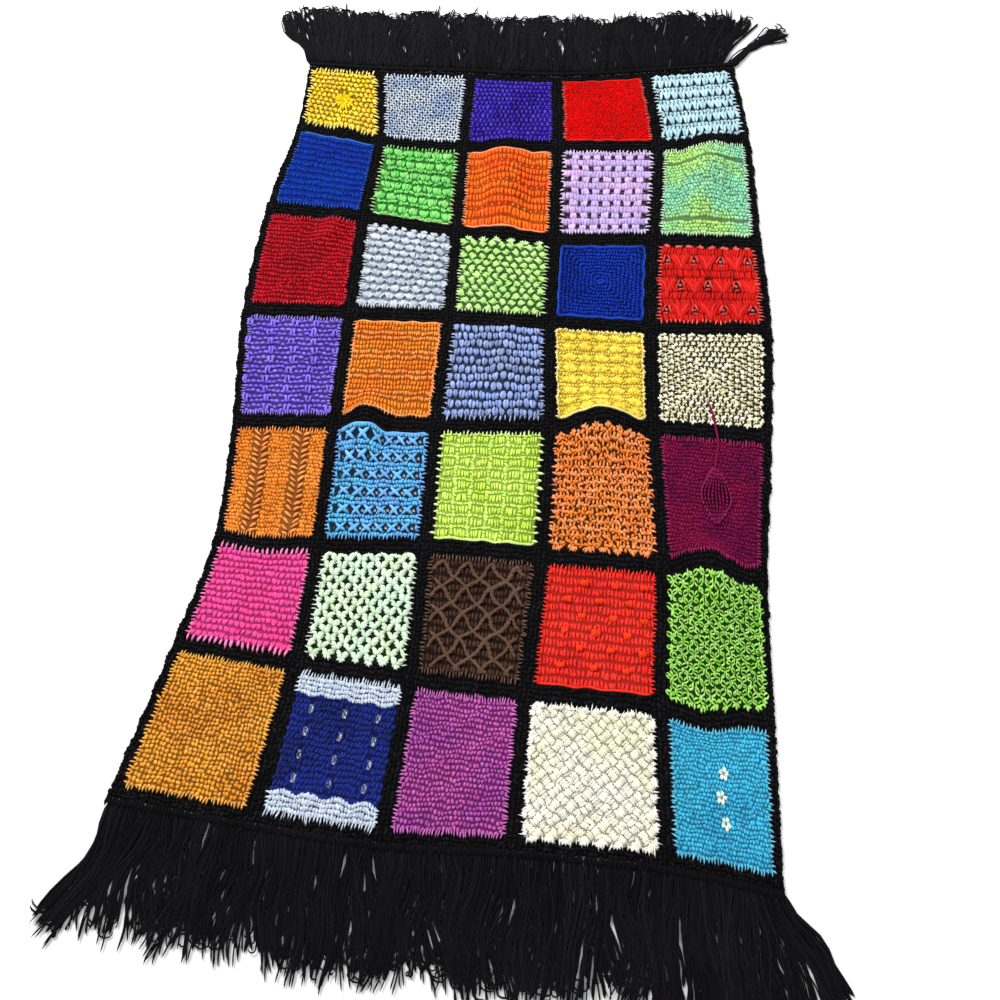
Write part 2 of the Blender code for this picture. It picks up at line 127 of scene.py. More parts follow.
# The black bands and fringes
BAND_STITCH = 0.0068     # length of one stitch of the bands
BAND_ROW = 0.0072        # width of one row of them
EDGE_LOOPS = 300         # loops that stand out along each long side
TUFTS = 110
LOCKS = 60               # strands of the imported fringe, whose raggedness is repeated
FAN_ANGLE = math.radians(32)
FRINGES = {
    # end is +1 at the head end, -1 at the foot. The outermost tufts on one side, from
    # bundle_from of the half width, turn out together. hooked is the share of curled tips.
    # piece: (end, reach, longer, taper, swell, bundle_from, bundle_longer, bundle_turn, hooked)
    "fringe_head": (1, 0.165, 1.18, -0.05, 0.00, 0.95, 1.05, 0.80, 0.90),
    "fringe_foot": (-1, 0.200, 1.04, 0.07, 0.08, 0.93, 1.07, -0.07, 0.35),
}
FRINGE_LAYERS = (
    # fat strands underneath, then the finer ones that lie on them
    # (strands_of_a_tuft, sides, radius, height, shorter)
    (4, 4, 0.0027, 0.0022, 0.13),
    (7, 3, 0.0016, 0.0050, 0.00),
)

# The leaf and the yarn tail at its tip
LEAF_MIDDLE = ((4.525 - COLUMNS / 2) * PITCH, (ROWS / 2 - 4.483) * PITCH)
LEAF_LENGTH = 0.088
LEAF_WIDTH = 0.060
LEAF_RIBS = 9
TAIL_DIAMETER = 0.0040
TAIL_TWIST = 0.011       # length of one turn of the tail's two plies
TAIL_ROUTE = (                   # metres across and along from the leaf's tip
    (0.000, 0.000), (0.002, 0.012), (0.005, 0.027), (0.007, 0.043),
    (0.004, 0.061), (0.000, 0.080), (-0.004, 0.099), (-0.010, 0.114),
)


# ---- the lie of the cloth

def spline_weights(place, count):
    """First padded index and the four weights of a smooth curve through even steps."""
    index = np.clip(np.floor(place), 0, count - 2).astype(int)
    t = place - index
    s = np.clip(t, 0, 1)
    before, after = np.minimum(t - s, 0), np.maximum(t - s, 0)
    return index, np.stack([
        0.5 * (-s + 2 * s ** 2 - s ** 3) - before,
        0.5 * (2 - 5 * s ** 2 + 3 * s ** 3) + before - after,
        0.5 * (s + 4 * s ** 2 - 3 * s ** 3) + after,
        0.5 * (-s ** 2 + s ** 3)])


# The crossings, continued straight by one step on every side
CROSSINGS = np.pad(np.stack([CROSSING_X, CROSSING_Y], axis=-1) / 1000,
                   ((1, 1), (1, 1), (0, 0)), "reflect", reflect_type="odd")


def bump(share):
    return np.clip(1 - share ** 2, 0, None) ** 2


def underside(u, v):
    """World position of the cloth's underside at the places u, v of the flat blanket."""
    column, row = u / PITCH + COLUMNS / 2, ROWS / 2 - v / PITCH
    i, across = spline_weights(column, COLUMNS + 1)
    j, down = spline_weights(row, ROWS + 1)
    floor = sum(CROSSINGS[j + b, i + a] * (down[b] * across[a])[..., None]
                for a in range(4) for b in range(4))
    height, push = np.zeros_like(u), np.zeros_like(u)
    for middle_c, middle_r, run_c, run_r, half_width, crest, shove in FOLDS:
        run = math.hypot(run_c, run_r)
        along = ((column - middle_c) * run_c + (row - middle_r) * run_r) / run
        sideways = ((column - middle_c) * run_r - (row - middle_r) * run_c) / run
        share = bump(along / run) * bump(sideways / half_width)
        height = height + share * crest
        push = push + share * shove
    return np.stack([floor[..., 0] + SHIFT[0], floor[..., 1] + push + SHIFT[1], height], -1)


def lay(u, v, height):
    """World position of points at a height above the underside, square to the cloth."""
    step = 0.002
    place = underside(u, v)
    normal = np.cross(underside(u + step, v) - place, underside(u, v + step) - place)
    normal /= np.linalg.norm(normal, axis=-1, keepdims=True)
    place = place + normal * height[..., None]
    place[..., 2] = np.maximum(place[..., 2], GAP)
    return place


# ---- meshes

def new_object(name, data):
    thing = bpy.data.objects.new(name, data)
    bpy.context.scene.collection.objects.link(thing)
    return thing


def mesh_piece(name, points, corners, sizes, material, yarn, dye_and_highlight):
    """A mesh object from arrays: points, face corners, and corners per face.

    yarn is a corner's place along and round its strand; dye_and_highlight is a point's tone and
    its blend toward the accent, partly a painted highlight.
    """
    mesh = bpy.data.meshes.new(name)
    mesh.vertices.add(len(points))
    mesh.vertices.foreach_set("co", np.asarray(points, np.float32).ravel())
    mesh.loops.add(len(corners))
    mesh.loops.foreach_set("vertex_index", np.asarray(corners, np.int32))
    mesh.polygons.add(len(sizes))
    starts = np.concatenate([[0], np.cumsum(sizes)[:-1]]).astype(np.int32)
    mesh.polygons.foreach_set("loop_start", starts)
    mesh.update(calc_edges=True)
    mesh.polygons.foreach_set("use_smooth", np.ones(len(sizes), bool))
    for label, domain, values in (("yarn", "CORNER", yarn), ("dye_and_highlight", "POINT", dye_and_highlight)):
        layer = mesh.attributes.new(label, "FLOAT_VECTOR", domain)
        layer.data.foreach_set("vector", np.asarray(values, np.float32).ravel())
    mesh.materials.append(material)
    return new_object(name, mesh)


def strand_template(rings, sides):
    """Corners, the ring and turn of each corner, and face sizes of one closed strand."""
    corners, ring_of, turn_of, sizes = [], [], [], []
    last = 1 + rings * sides
    for j in range(sides):
        after = (j + 1) % sides
        corners += [0, 1 + j, 1 + after]
        ring_of += [0, 1, 1]
        turn_of += [j + 0.5, j, j + 1]
        for ring in range(rings - 1):
            near = 1 + ring * sides
            far = near + sides
            corners += [near + j, far + j, far + after, near + after]
            ring_of += [ring + 1, ring + 2, ring + 2, ring + 1]
            turn_of += [j, j, j + 1, j + 1]
        end = last - sides
        corners += [last, end + after, end + j]
        ring_of += [rings + 1, rings, rings]
        turn_of += [j + 0.5, j + 1, j]
        sizes += [3] + [4] * (rings - 1) + [3]
    return [np.array(item) for item in (corners, ring_of, turn_of, sizes)]


def strand_arrays(centre, radius, sides, flatness=FLATNESS):
    """Points of closed strands round their centre lines; a strand's ends are tips.

    centre is (strands, points, 3) and radius (strands, points).
    """
    along = np.gradient(centre, axis=1)
    side = np.cross(along, (0.0, 0.0, 1.0))
    side /= np.linalg.norm(side, axis=-1, keepdims=True) + 1e-12
    top = np.cross(side, along)
    top /= np.linalg.norm(top, axis=-1, keepdims=True) + 1e-12
    turn = (2 * np.pi * np.arange(sides) / sides)[:, None]
    spokes = side[:, 1:-1, None] * np.cos(turn) + top[:, 1:-1, None] * np.sin(turn) * flatness
    rings = centre[:, 1:-1, None] + spokes * radius[:, 1:-1, None, None]
    return np.concatenate([centre[:, :1], rings.reshape(len(centre), -1, 3), centre[:, -1:]], 1)


def on_cloth(points):
    """World position of flat points, moved a little, as uneven as work done by hand."""
    u, v, height = points.T
    return lay(u + WANDER * (np.sin(2 * np.pi * v / 0.047 + 2 * np.sin(2 * np.pi * u / 0.13))
                             + 0.6 * np.sin(2 * np.pi * (u + 0.7 * v) / 0.031)),
               v + WANDER * (np.sin(2 * np.pi * u / 0.053 + 2 * np.sin(2 * np.pi * v / 0.11))
                             + 0.6 * np.sin(2 * np.pi * (v - 0.8 * u) / 0.029)), height)


def strand_piece(name, batches, material, to_world=on_cloth):
    """One piece from batches of strands."""
    points, corners, sizes, yarn, dye_and_highlight = [], [], [], [], []
    total = 0
    for centre, radius, sides, tone, blend in batches:
        verts = strand_arrays(centre, radius, sides)
        count, each = verts.shape[:2]
        template, ring_of, turn_of, face_sizes = strand_template(centre.shape[1] - 2, sides)
        steps = np.linalg.norm(np.diff(centre, axis=1), axis=-1)
        run = np.concatenate([np.zeros((count, 1)), np.cumsum(steps, axis=1)], axis=1)
        corners.append((template + total + each * np.arange(count)[:, None]).ravel())
        sizes.append(np.tile(face_sizes, count))
        turns = np.broadcast_to(turn_of / sides, (count, len(turn_of)))
        along = run[:, ring_of] + tone[:, None] * 0.01
        yarn.append(np.stack([along, turns, 0 * turns], -1).reshape(-1, 3))
        dye_and_highlight.append(np.repeat(np.stack([tone, blend, 0 * tone], -1), each, axis=0))
        points.append(to_world(verts.reshape(-1, 3)))
        total += each * count
    points, corners, sizes, yarn, dye_and_highlight = map(np.concatenate, (points, corners, sizes, yarn, dye_and_highlight))
    return mesh_piece(name, points, corners, sizes, material, yarn, dye_and_highlight)


class Work:
    """Stitches on one stretch of the flat cloth, whose corner nearest the head end's left
    is at (u, v). Its sides are kept in hundredths. A blend given as a pair of values is
    drawn between them."""

    def __init__(self, u, v, width, length, seed):
        self.u, self.v = u, v
        self.width, self.length = width / 100, length / 100
        self.batches = []
        self.rng = np.random.default_rng(seed)

    def drawn(self, blend, count):
        return self.rng.uniform(*blend, count) if isinstance(blend, tuple) else blend

    def path(self, x, y, h, radius, sides=5, blend=0.0):
        """Strands through points at the heights h."""
        x, y, h, radius = np.atleast_2d(*np.broadcast_arrays(x, y, h, radius))
        centre = np.stack([self.u + x * self.width, self.v - y * self.length, (h - BED) * MM], -1)
        tone = self.rng.normal(0, 1, len(x))
        blend = np.broadcast_to(blend, len(x)).astype(float)
        self.batches.append((centre, radius * MM, sides, tone, blend))

    def stitch(self, x0, y0, x1, y1, radius, high=HIGH, low=LOW, bow=0.0, rings=2, sides=5,
               blend=0.0, jitter=0.8):
        """Short bowed strands from (x0, y0) to (x1, y1), thickest in the middle."""
        blend = self.drawn(blend, np.broadcast(x0, y0, x1, y1).size)
        x0, y0, x1, y1, radius, high, low, bow, blend = [
            np.atleast_1d(item).astype(float)[:, None] for item in
            np.broadcast_arrays(x0, y0, x1, y1, radius, high, low, bow, blend)]
        share = np.linspace(0, 1, rings + 2)
        hump = 4 * share * (1 - share)
        shake = self.rng.normal(0, jitter, (4, len(x0), 1)) * MM
        x0, x1 = x0 + shake[0] / self.width, x1 + shake[2] / self.width
        y0, y1 = y0 + shake[1] / self.length, y1 + shake[3] / self.length
        x = x0 * (1 - share) + x1 * share - (y1 - y0) * bow * hump
        y = y0 * (1 - share) + y1 * share + (x1 - x0) * bow * hump
        thick = radius * np.sin(np.pi * share) ** 0.6
        self.path(x, y, low + (high - low) * hump, thick, sides, blend[:, 0])

    def stroke(self, x, y, dx, dy, *sizes, **more):
        """A stitch with its middle at (x, y) that reaches dx, dy to either side."""
        self.stitch(x - dx, y - dy, x + dx, y + dy, *sizes, **more)


# ---- ways of stitching

ALL = "head foot left right"


def grid(columns, rows, x0=0, x1=100, y0=0, y1=100, stagger=0.0):
    """Middles of even cells, their columns and rows; stagger shifts every other row."""
    j, i = [item.ravel() for item in np.mgrid[0:rows, 0:columns]]
    x = x0 + (i + 0.5 + stagger * (j % 2 - 0.5)) * (x1 - x0) / columns
    y = y0 + (j + 0.5) * (y1 - y0) / rows
    return x, y, i, j


def flip(number):
    return np.where(number % 2, 1, -1)


def posts(work, columns, rows, lean=0.25, high=HIGH, y0=0, y1=100, stagger=0.5, plump=0.52,
          cover=0.52, every_other=True, keep=None, **more):
    """Rows of upright strands; lean is their slant, turned round in every other row."""
    x, y, _, j = grid(columns, rows, y0=y0, y1=y1, stagger=stagger)
    way = flip(j) if every_other else np.ones(len(x))
    if keep is not None:
        chosen = keep(x, y)
        x, y, way = x[chosen], y[chosen], way[chosen]
    half = cover * (y1 - y0) / rows
    radius = plump * 100 / columns * work.width / MM
    work.stroke(x, y, lean * way * half, half, radius, high, **more)


def slanted(work, columns, rows, leans, *heights, **more):
    """Rows of posts one over the other that lean all alike, first one way, then another."""
    for lean in leans:
        posts(work, columns, rows, lean, *heights, stagger=0, every_other=False, **more)


def fans(work, x, y, reach, spread, legs, radius, high=HIGH, turn=0.0, hub=0.0, blend=0.0,
         **more):
    """Strands that spread from one point; turn 0 is towards the head end, clockwise."""
    blend = work.drawn(blend, len(x))
    for leg in range(legs):
        angle = turn + spread * (leg / max(legs - 1, 1) - 0.5)
        across, along = np.sin(angle), -np.cos(angle)
        work.stitch(x + hub * across, y + hub * along, x + reach * across, y + reach * along,
                    radius, high, blend=blend, **more)


def clusters(work, x, y, half_length, half_width, strands, radius, high=HIGH, turn=0.0,
             pinch=1.0, **more):
    """Strands side by side; pinch is the share of their spacing that is left at one end."""
    along_x, along_y = half_length * np.sin(turn), -half_length * np.cos(turn)
    for strand in range(strands):
        off = half_width * (2 * strand / (strands - 1) - 1)
        side_x, side_y = off * np.cos(turn), off * np.sin(turn)
        work.stitch(x + pinch * side_x - along_x, y + pinch * side_y - along_y,
                    x + side_x + along_x, y + side_y + along_y, radius, high, **more)


def rounds(total, step, least, middle_y=50, shift=0.0):
    """Places along each side of nested squares, with the side's direction and turn."""
    for number in range(1, total + 1):
        radius = 50 * (number - 0.5) / total
        count = max(least, round(2 * radius / step))
        along = ((np.arange(count) + 0.5) / count * 2 - 1) * radius + number % 2 * shift
        for turn in np.arange(4) * math.pi / 2:
            cos, sin = math.cos(turn), math.sin(turn)
            yield (50 + along * cos + radius * sin, middle_y + along * sin - radius * cos,
                   cos, sin, turn)


def edge_places(count, side):
    """Evenly spaced places on one edge, and the way out of the square there."""
    t = 100 * (np.arange(count) + 0.5) / count
    return {"head": (t, 0 * t, 0, -1), "foot": (t, 0 * t + 100, 0, 1),
            "left": (0 * t, t, -1, 0), "right": (0 * t + 100, t, 1, 0)}[side]


def teeth(work, sides, count, reach=2.7, radius=1.4, blend=0.7, slant=0.3, wander=0.35):
    """Loops of the square's own yarn that reach out over the black bands; blend pales them toward
    the accent, which on these raised loops is mostly a painted highlight and in a few squares a
    second yarn.
    """
    root = 3.0
    for side in sides.split():
        x, y, out_x, out_y = edge_places(count, side)
        far = reach * (1 + work.rng.uniform(-wander, wander, count))
        lean = slant * far * work.rng.uniform(0.2, 1.0, count)
        work.stitch(x - root * out_x, y - root * out_y,
                    x + far * out_x - lean * out_y, y + far * out_y + lean * out_x,
                    radius * work.rng.uniform(0.8, 1.2, count), *TOOTH, sides=4, blend=blend)


def rim(work, sides, radius=2.0, blend=0.5, inset=0.6, height=4.6, wave=0.0):
    """A strand that runs along whole edges."""
    t = np.linspace(0, 100, 26)
    off = inset + wave * np.sin(0.6 * t)
    for side in sides.split():
        line = {"head": (t, off), "foot": (t, 100 - off),
                "left": (off, t), "right": (100 - off, t)}[side]
        work.path(*line, height, radius, 5, blend)


def scallops(work, sides, count, reach, legs=5, radius=2.0, blend=0.5):
    """Rounded fans along edges that stick out over the band."""
    for side in sides.split():
        x, y, out_x, out_y = edge_places(count, side)
        fans(work, x - 2 * out_x, y - 2 * out_y, reach, 2.0, legs, radius, 6.8,
             math.atan2(out_x, -out_y), blend=blend, low=5.6)


# ---- the thirty-five squares

def yellow_sunburst(work):
    middle = np.full(18, 53)
    x, y, *_ = grid(13, 12, stagger=0.5)
    turn = np.arctan2(x - 53, 53 - y) + work.rng.normal(0, 0.22, len(x))
    away = np.hypot(x - 53, y - 53) > 17
    x, y, turn = x[away], y[away], turn[away]
    fans(work, x - 3.8 * np.sin(turn), y + 3.8 * np.cos(turn), 9, 0.85, 3, 2.8, 6.4, turn,
         blend=(0, 0.25))
    rays = np.arange(18)
    fans(work, middle, middle, np.where(rays % 2, 15, 20), 0, 1, 3.6, 7.8, np.pi * rays / 9,
         hub=4.5, rings=4, jitter=1.6)
    fans(work, middle[:7], middle[:7], 9, 0, 1, 3.4, 6.6, 2 * np.pi * rays[:7] / 7)
    teeth(work, ALL, 19, 6, 2.6, slant=0.5)


def blue_marl_mesh(work):
    x, y, i, j = grid(28, 24)
    work.stroke(x, y, 1.7 * flip(i + j), 2.1, 2.2, 5.8, sides=4, jitter=0.7, blend=(0, 0.5))
    teeth(work, ALL, 22, 4.2, 1.9)


def indigo_flecks(work):
    x, y, *_ = grid(17, 14, stagger=0.5)
    work.stroke(x, y, 0.4, 3.6, 3.3, 6.0, blend=(0, 0.5))
    x, y, *_ = grid(18, 15)
    work.stroke(x, y, 2.0, 1.2, 2.2)
    teeth(work, "left right foot", 26)


def red_close_stitch(work):
    posts(work, 30, 30, 0.5, sides=4)
    teeth(work, "left right", 32, 2.6, blend=0.6)
    rim(work, "head foot", 1.6, 0.15)


def pale_blue_shells(work):
    x, y, *_ = grid(10, 5, stagger=0.5)
    apex = y - 6.2
    for side in (-1, 1):
        work.stitch(x, apex, x + side * 4, apex + 15.6, 4.0, 7.0, 3.6, bow=-0.05 * side,
                    rings=3, blend=(0, 0.5))
    inside = x + 5 < 100
    work.stroke(x[inside] + 5, apex[inside] + 3.6, 0.4, 5.6, 3.6, 6.6, blend=0.2)
    x, y, *_ = grid(20, 5)
    work.stroke(x, y - 8.4, 3.0, 1.6, 3.4, 7.0, blend=0.2)
    work.stroke(x, y - 5.8, 2.4, -1.2, 2.6, 6.2, blend=0.5)
    teeth(work, "left right", 18, 4.5, 2.2)
    scallops(work, "head", 10, 5.0, 3, 2.8, 0.3)
    scallops(work, "foot", 10, 4.5, 3, 2.6, 0.3)


def royal_blue_ribs(work):
    posts(work, 34, 12, 0.15, 6.2, cover=0.46, stagger=0, plump=0.56, sides=4)
    x, y, *_ = grid(34, 11, y0=4.2, y1=95.8)
    work.stroke(x, y, 1.2, 1.0, 2.0, sides=3)
    rim(work, "head", 2.2, 0.5)
    teeth(work, "left right foot", 26, 2.2, blend=0.4)


def green_popcorn(work):
    x, y, *_ = grid(7, 6, 1, 99, stagger=0.35)
    y = y - 1.4
    for off in np.arange(8) / 3.5 - 1:
        work.stitch(x + 1.2 * off, y + 5.6, x + 4.8 * off, y - 5.2, 2.5, 9.2 - 3.4 * abs(off),
                    3.6, bow=0.18 * off, rings=3, blend=(0, 0.3), jitter=1.4)
    small = x + 50 / 7 < 99
    for reach, x_off, y_off in ((5.0, 1.2, 10.2), (4.4, 50 / 7, 9.0)):
        fans(work, x[small] + x_off, y[small] + y_off, reach, 2.1, 4, 2.4, 7.0, jitter=1.4,
             blend=(0, 0.15))
    rim(work, "foot", 1.8, 0.9, wave=0.4)
    teeth(work, "left right", 20, 4.5, 1.7, blend=0.5)
    teeth(work, "head", 20, 3.0, 1.7, blend=0.2)


def orange_waves(work):
    for top, bottom, rows in ((0, 20, 2), (22.5, 46, 3), (48.5, 74.5, 3), (77, 100, 2)):
        slanted(work, 23, rows, (0.22, -0.22), 5.4, top, bottom, plump=0.40)
    for middle in (21.2, 47.2, 75.7):
        x, y, *_ = grid(14, 1, y0=middle - 1, y1=middle + 1)
        work.stroke(x + 50 / 14, y, 0, 1.8, 2.6)
    rim(work, "head foot", 2.1)
    teeth(work, "left right", 30, 3)


def lavender_eyelets(work):
    for line in range(8):
        slanted(work, 27, 1, (0.40, -0.15), 5.4, max(line - 0.35, 0) / 0.07,
                min(line + 0.35, 7) / 0.07, plump=0.54, cover=0.54)
    x, y, *_ = grid(9, 7, -6.25, 106.25)
    inside = (x > 0) & (x < 100)
    clusters(work, x[inside], y[inside], 5.0, 2.7, 4, 3.3, 5.8, blend=0.15)
    teeth(work, "left right", 21, 3.6, 1.7)
    teeth(work, "head foot", 26, 2.2)


def sea_marl_frame(work):
    posts(work, 27, 27, 0.9, sides=4,
          keep=lambda x, y: (abs(y - 15) > 1.8) & (abs(y - 83) > 1.8))
    x, y, *_ = grid(6, 8, 28, 90, 20, 80)
    work.stroke(x - 0.12 * (y - 50), y, 1.2, 1.4, 3.4, 7.4)
    teeth(work, ALL, 32, 3, blend=0.8)


def crimson_ribs(work):
    x, y, _, j = grid(32, 21, stagger=0.5)
    y = y + 0.8 * np.sin(0.09 * x + 0.8 * j)
    work.stroke(x, y, flip(j), 2.2, 2.8, 5.8, sides=4, blend=(0, 0.2))
    teeth(work, ALL, 30, 2.2)


def silver_shells(work):
    x, y, *_ = grid(8, 11, stagger=0.5)
    fans(work, x, y + 6, 10.8, 1.55, 8, 2.2, 7.4, hub=1.4, low=3.6, rings=3, jitter=1.0,
         blend=(0, 0.6))
    scallops(work, "head", 8, 5.5, radius=2.1)
    teeth(work, "left right foot", 30, 3, 1.3)


def lime_lattice(work):
    x, y, *_ = grid(9, 11, stagger=0.5)
    turn = np.where((x - 50) * (y - 50) > 0, 0.75, -0.75)
    clusters(work, x, y, 5.0, 2.4, 3, 3.1, 6.4, turn, pinch=0.7)
    x, y, *_ = grid(10, 12)
    work.stroke(x, y, 3.0, 0, 1.9, 4.4)
    scallops(work, "head", 6, 7.5)
    teeth(work, "right", 20, 5.5, 1.6)
    teeth(work, "left foot", 24, 3)


def navy_rounds(work):
    for x, y, cos, sin, _ in rounds(11, 3.4, 4):
        work.stroke(x, y, cos + 2.2 * sin, sin - 2.2 * cos, 3.0, 6.2)
    rim(work, ALL, 2.2, 0.4, inset=1.0, height=5.6)


def red_fans(work):
    def solid(x, y):
        column, row = np.floor(x * 0.07), np.floor(y * 0.03)
        gap = (abs(x - (column + 0.5) / 0.07) < 4.0) & (abs(y - (row + 0.5) / 0.03) < 6.6)
        return ~gap | ((column + row) % 2 == 1)

    posts(work, 34, 10, 0.14, 5.0, plump=0.50, cover=0.78, sides=4, keep=solid)
    places = np.stack(grid(7, 3)[:2], axis=-1)
    for number, (x, y) in enumerate(places[..., None]):
        if number % 2:
            fans(work, x, y + 16.5, 29, 0.84, 10, 2.2, 6.6, hub=3, rings=3, jitter=1.2)
            for side in (-1, 1):
                work.stitch(x, y + 15, x + side * 11.2, y - 10.5, 1.6, 7.4, bow=-0.10 * side,
                            rings=4, blend=0.18)
        else:
            for side in (-1, 1):
                work.stitch(x, y - 8.2, x + side * 4.4, y + 5.8, 2.2, 6.4, bow=-0.05 * side,
                            blend=0.25)
            work.stroke(x, y + 6.6, 4.4, 0, 2.4, 6.0, blend=0.2)
    scallops(work, "head", 8, 5)
    teeth(work, "left right foot", 22, 3.5)


def violet_basket(work):
    x, y, *_ = grid(17, 20, stagger=0.5)
    work.stroke(x, y, 3.6, 0.3, 3.0, 5.6, sides=4, jitter=0.9, blend=(0, 0.35))
    x, y, _, j = grid(4, 10, 2, 98, stagger=1.0)
    x = x + 2 * np.sin(5.0 * j)
    for side in (-1, 1):
        work.stitch(x + 1.2 * side, y + 5.0, x + 1.6 * side, y - 4.6, 2.6, 8.6, 4.0,
                    bow=0.06 * side, rings=3, blend=0.2)
    teeth(work, ALL, 34, 2.8, slant=0.1, wander=0.15, blend=0.6)


def orange_boxes(work):
    for middle in (16, 37, 58, 80):
        x, y, *_ = grid(13, 2, y0=middle - 5.6, y1=middle + 5.6)
        clusters(work, x, y, 2.5, 2.2, 3, 2.3, 6.4, blend=0.25)
    for top, bottom in ((0, 10), (22, 31), (43, 52), (64, 74), (86, 100)):
        slanted(work, 26, 2, (0.15, -0.15), 5.4, top, bottom, plump=0.36)
    rim(work, ALL, 1.8, 0.8)
    teeth(work, "left right foot", 26, 2.8, blend=0.9)


def blue_bobbles(work):
    x, y, _, j = grid(14, 11, stagger=0.5)
    y = y + np.sin(0.07 * x + 1.3 * j)
    for side in (-1, 1):
        work.stitch(x, y + 4.6, x, y - 4.6, 3.4, 8.0, bow=side * 0.17, rings=3,
                    blend=(0, 0.4), jitter=1.0)
    teeth(work, "left right foot", 20, 4)


def yellow_scales(work):
    x, y, *_ = grid(5, 8, 6, 98)
    fans(work, x, y + 6.8, 11.6, 1.9, 11, 2.6, 6.4, hub=1.5, low=3.6)
    posts(work, 30, 24, 0.8, 4.4, sides=3)
    scallops(work, "head", 14, 4, 3)
    scallops(work, "left right", 16, 4, 3)
    rim(work, "foot", 2.6)


def cream_rounds(work):
    for x, y, cos, sin, turn in rounds(8, 6.25, 1, 49, 3.125):
        x, y = x - 3.2 * sin, y + 3.2 * cos
        fans(work, x, y, 5.4, 0.8, 2, 1.5, 5.0, turn, blend=(0, 0.3))
        work.stroke(x, y, 3 * cos + 1.2 * sin, 3 * sin - 1.2 * cos, 3.1, 6.6, 4.0,
                    blend=(0.2, 0.9))
    scallops(work, "head left right foot", 11, 4.5, 3, 2.4)


def ochre_chevrons(work):
    columns = (27, 74)
    posts(work, 30, 28, 0.9, sides=4,
          keep=lambda x, y: (abs(x - columns[0]) > 10) & (abs(x - columns[1]) > 10))
    rows = (np.arange(18) + 0.5) / 0.18
    for middle in columns:
        for side in (-10, 10):
            work.stitch(middle, np.minimum(rows + 3, 99), middle + side, rows - 2.5, 2.5, 7.8,
                        3.6, rings=3, blend=0.5, jitter=0.7)
    teeth(work, ALL, 30, 3, blend=0.3)


def sky_crosses(work):
    for line in range(7):
        posts(work, 30, 2 if 0 < line < 6 else 1, 0.8, y0=max(line / 0.06 - 4.2, 0),
              y1=min(line / 0.06 + 4.2, 100), sides=4)
    x, y, *_ = grid(8, 6, -50 / 7, 100 + 50 / 7)
    inside = (x > 2) & (x < 98)
    for side in (-1, 1):
        work.stroke(x[inside], y[inside], side * 6.8, 5.0, 3.4, 6.6, rings=3, blend=0.35)
    for x in (2, 98):
        work.stroke(x, (np.arange(6) + 0.5) / 0.06, 1, 5, 3.0, 6.0, blend=0.2)
    rim(work, "head", 2.0)
    teeth(work, "right left foot", 26, 3.5)


def lime_basket(work):
    x, y, *_ = grid(6, 9, 0.2, 99.8)
    clusters(work, x, y, 4.4, 4.2, 4, 2.4, 6.2)
    x, y, *_ = grid(5, 45, 8.5, 91.5)
    work.stroke(x, y, 2.4, 0.8, 2.2, 5.4, blend=0.1, sides=4, jitter=1)
    x, y, *_ = grid(30, 10, y0=-50 / 9, y1=100 + 50 / 9)
    work.stroke(x, np.clip(y, 1, 99), 2.0, 0.3, 2.1, 5.8, sides=4, blend=0.15)
    teeth(work, "left right", 15, 4.5, 2.2)
    teeth(work, "head", 26, 3)
    rim(work, "foot", 2.2)


def rust_stars(work):
    x, y, i, j = grid(13, 15, stagger=0.5)
    fans(work, x, y + 1, 5.6, 2.1, 3, 2.6, 6.6, jitter=1.4, blend=(0, 0.7))
    work.stroke(x, y + 3, flip(i), 3, 2.5, 6.0, blend=(0, 0.4), jitter=1.4)
    work.stroke(x + 50 / 13, y + 1.2, 2.2, 1.6 * flip(j), 1.8, 5.4, jitter=1.4)
    scallops(work, "foot", 7, 6)
    scallops(work, "head", 8, 5, 4)
    teeth(work, "left right", 18, 3.8, 1.7)


def plum_plain(work):
    posts(work, 31, 31, 0.35, sides=4)
    teeth(work, ALL, 34, 3, blend=0.35)


def pink_clusters(work):
    x, y, *_ = grid(18, 14, stagger=0.5)
    clusters(work, x, y, 3.6, 1.5, 3, 2.4, 6.0, 0.15, pinch=0.6)
    teeth(work, "head foot", 19, 5.5, 2.5, wander=0.15, slant=0.1)
    teeth(work, "left right", 24, 3.2)


def mint_moons(work):
    for row in range(14):
        y = (row + 0.5) / 0.14
        for side in (-1, 1):
            x = (np.arange(8) + row % 2 / 2) / 0.07
            x = x[abs(x + 4 * side - 50) < 50]
            for layer in (-1, 0, 1):
                work.stitch(x + 0.9 * side, y + 4 + 0.3 * layer, x + side * (7 - 0.8 * layer),
                            y - 1.8 + 1.9 * layer, 3.7, 7.0, 3.6, bow=-0.26 * side, rings=3,
                            jitter=0.9, blend=(0, 0.5))
    scallops(work, "head", 7, 4.2, 4, 2.2)
    scallops(work, "foot", 7, 5.0, 4, 2.4)
    teeth(work, "left right", 22, 3.5, 1.2)


def brown_cables(work):
    slanted(work, 26, 13, (0.12,), 4.4, sides=4, plump=0.44)
    across, down = 4.0, 4.4      # diamonds between the crossing ropes
    along = np.linspace(2, 98, 44)
    for way in (-1, 1):
        for line in range(-3, 8):
            sway = 2.4 * np.sin(0.02 * math.pi * down * along + 0.4 * line) * way
            x = 100 * (line + 0.5) / across + way * down / across * (along - 50) + sway
            inside = abs(x - 50) < 48
            x, y = x[inside], along[inside]
            for ply in (0, math.pi) if len(x) > 5 else ():
                turn = 0.95 * y + ply
                work.path(x + 1.3 * np.cos(turn), y, 7.4 + 1.4 * np.sin(turn), 2.5, 5, 0.32)
    teeth(work, ALL, 30, 3, blend=0.5)


def red_dots(work):
    slanted(work, 29, 13, (0.18, -0.18), 5.6, plump=0.36, sides=4)
    x, y = np.tile((34, 62, 90, 20, 48, 76), 3), np.repeat((13, 27, 40, 54, 68, 83), 3)
    clusters(work, x, y, 3.6, 2.6, 4, 3.1, 9.4, pinch=0.8, blend=1.0)
    rim(work, "foot", 2.0, 0.3)
    teeth(work, "left right head", 30, 2.8, blend=0.35)


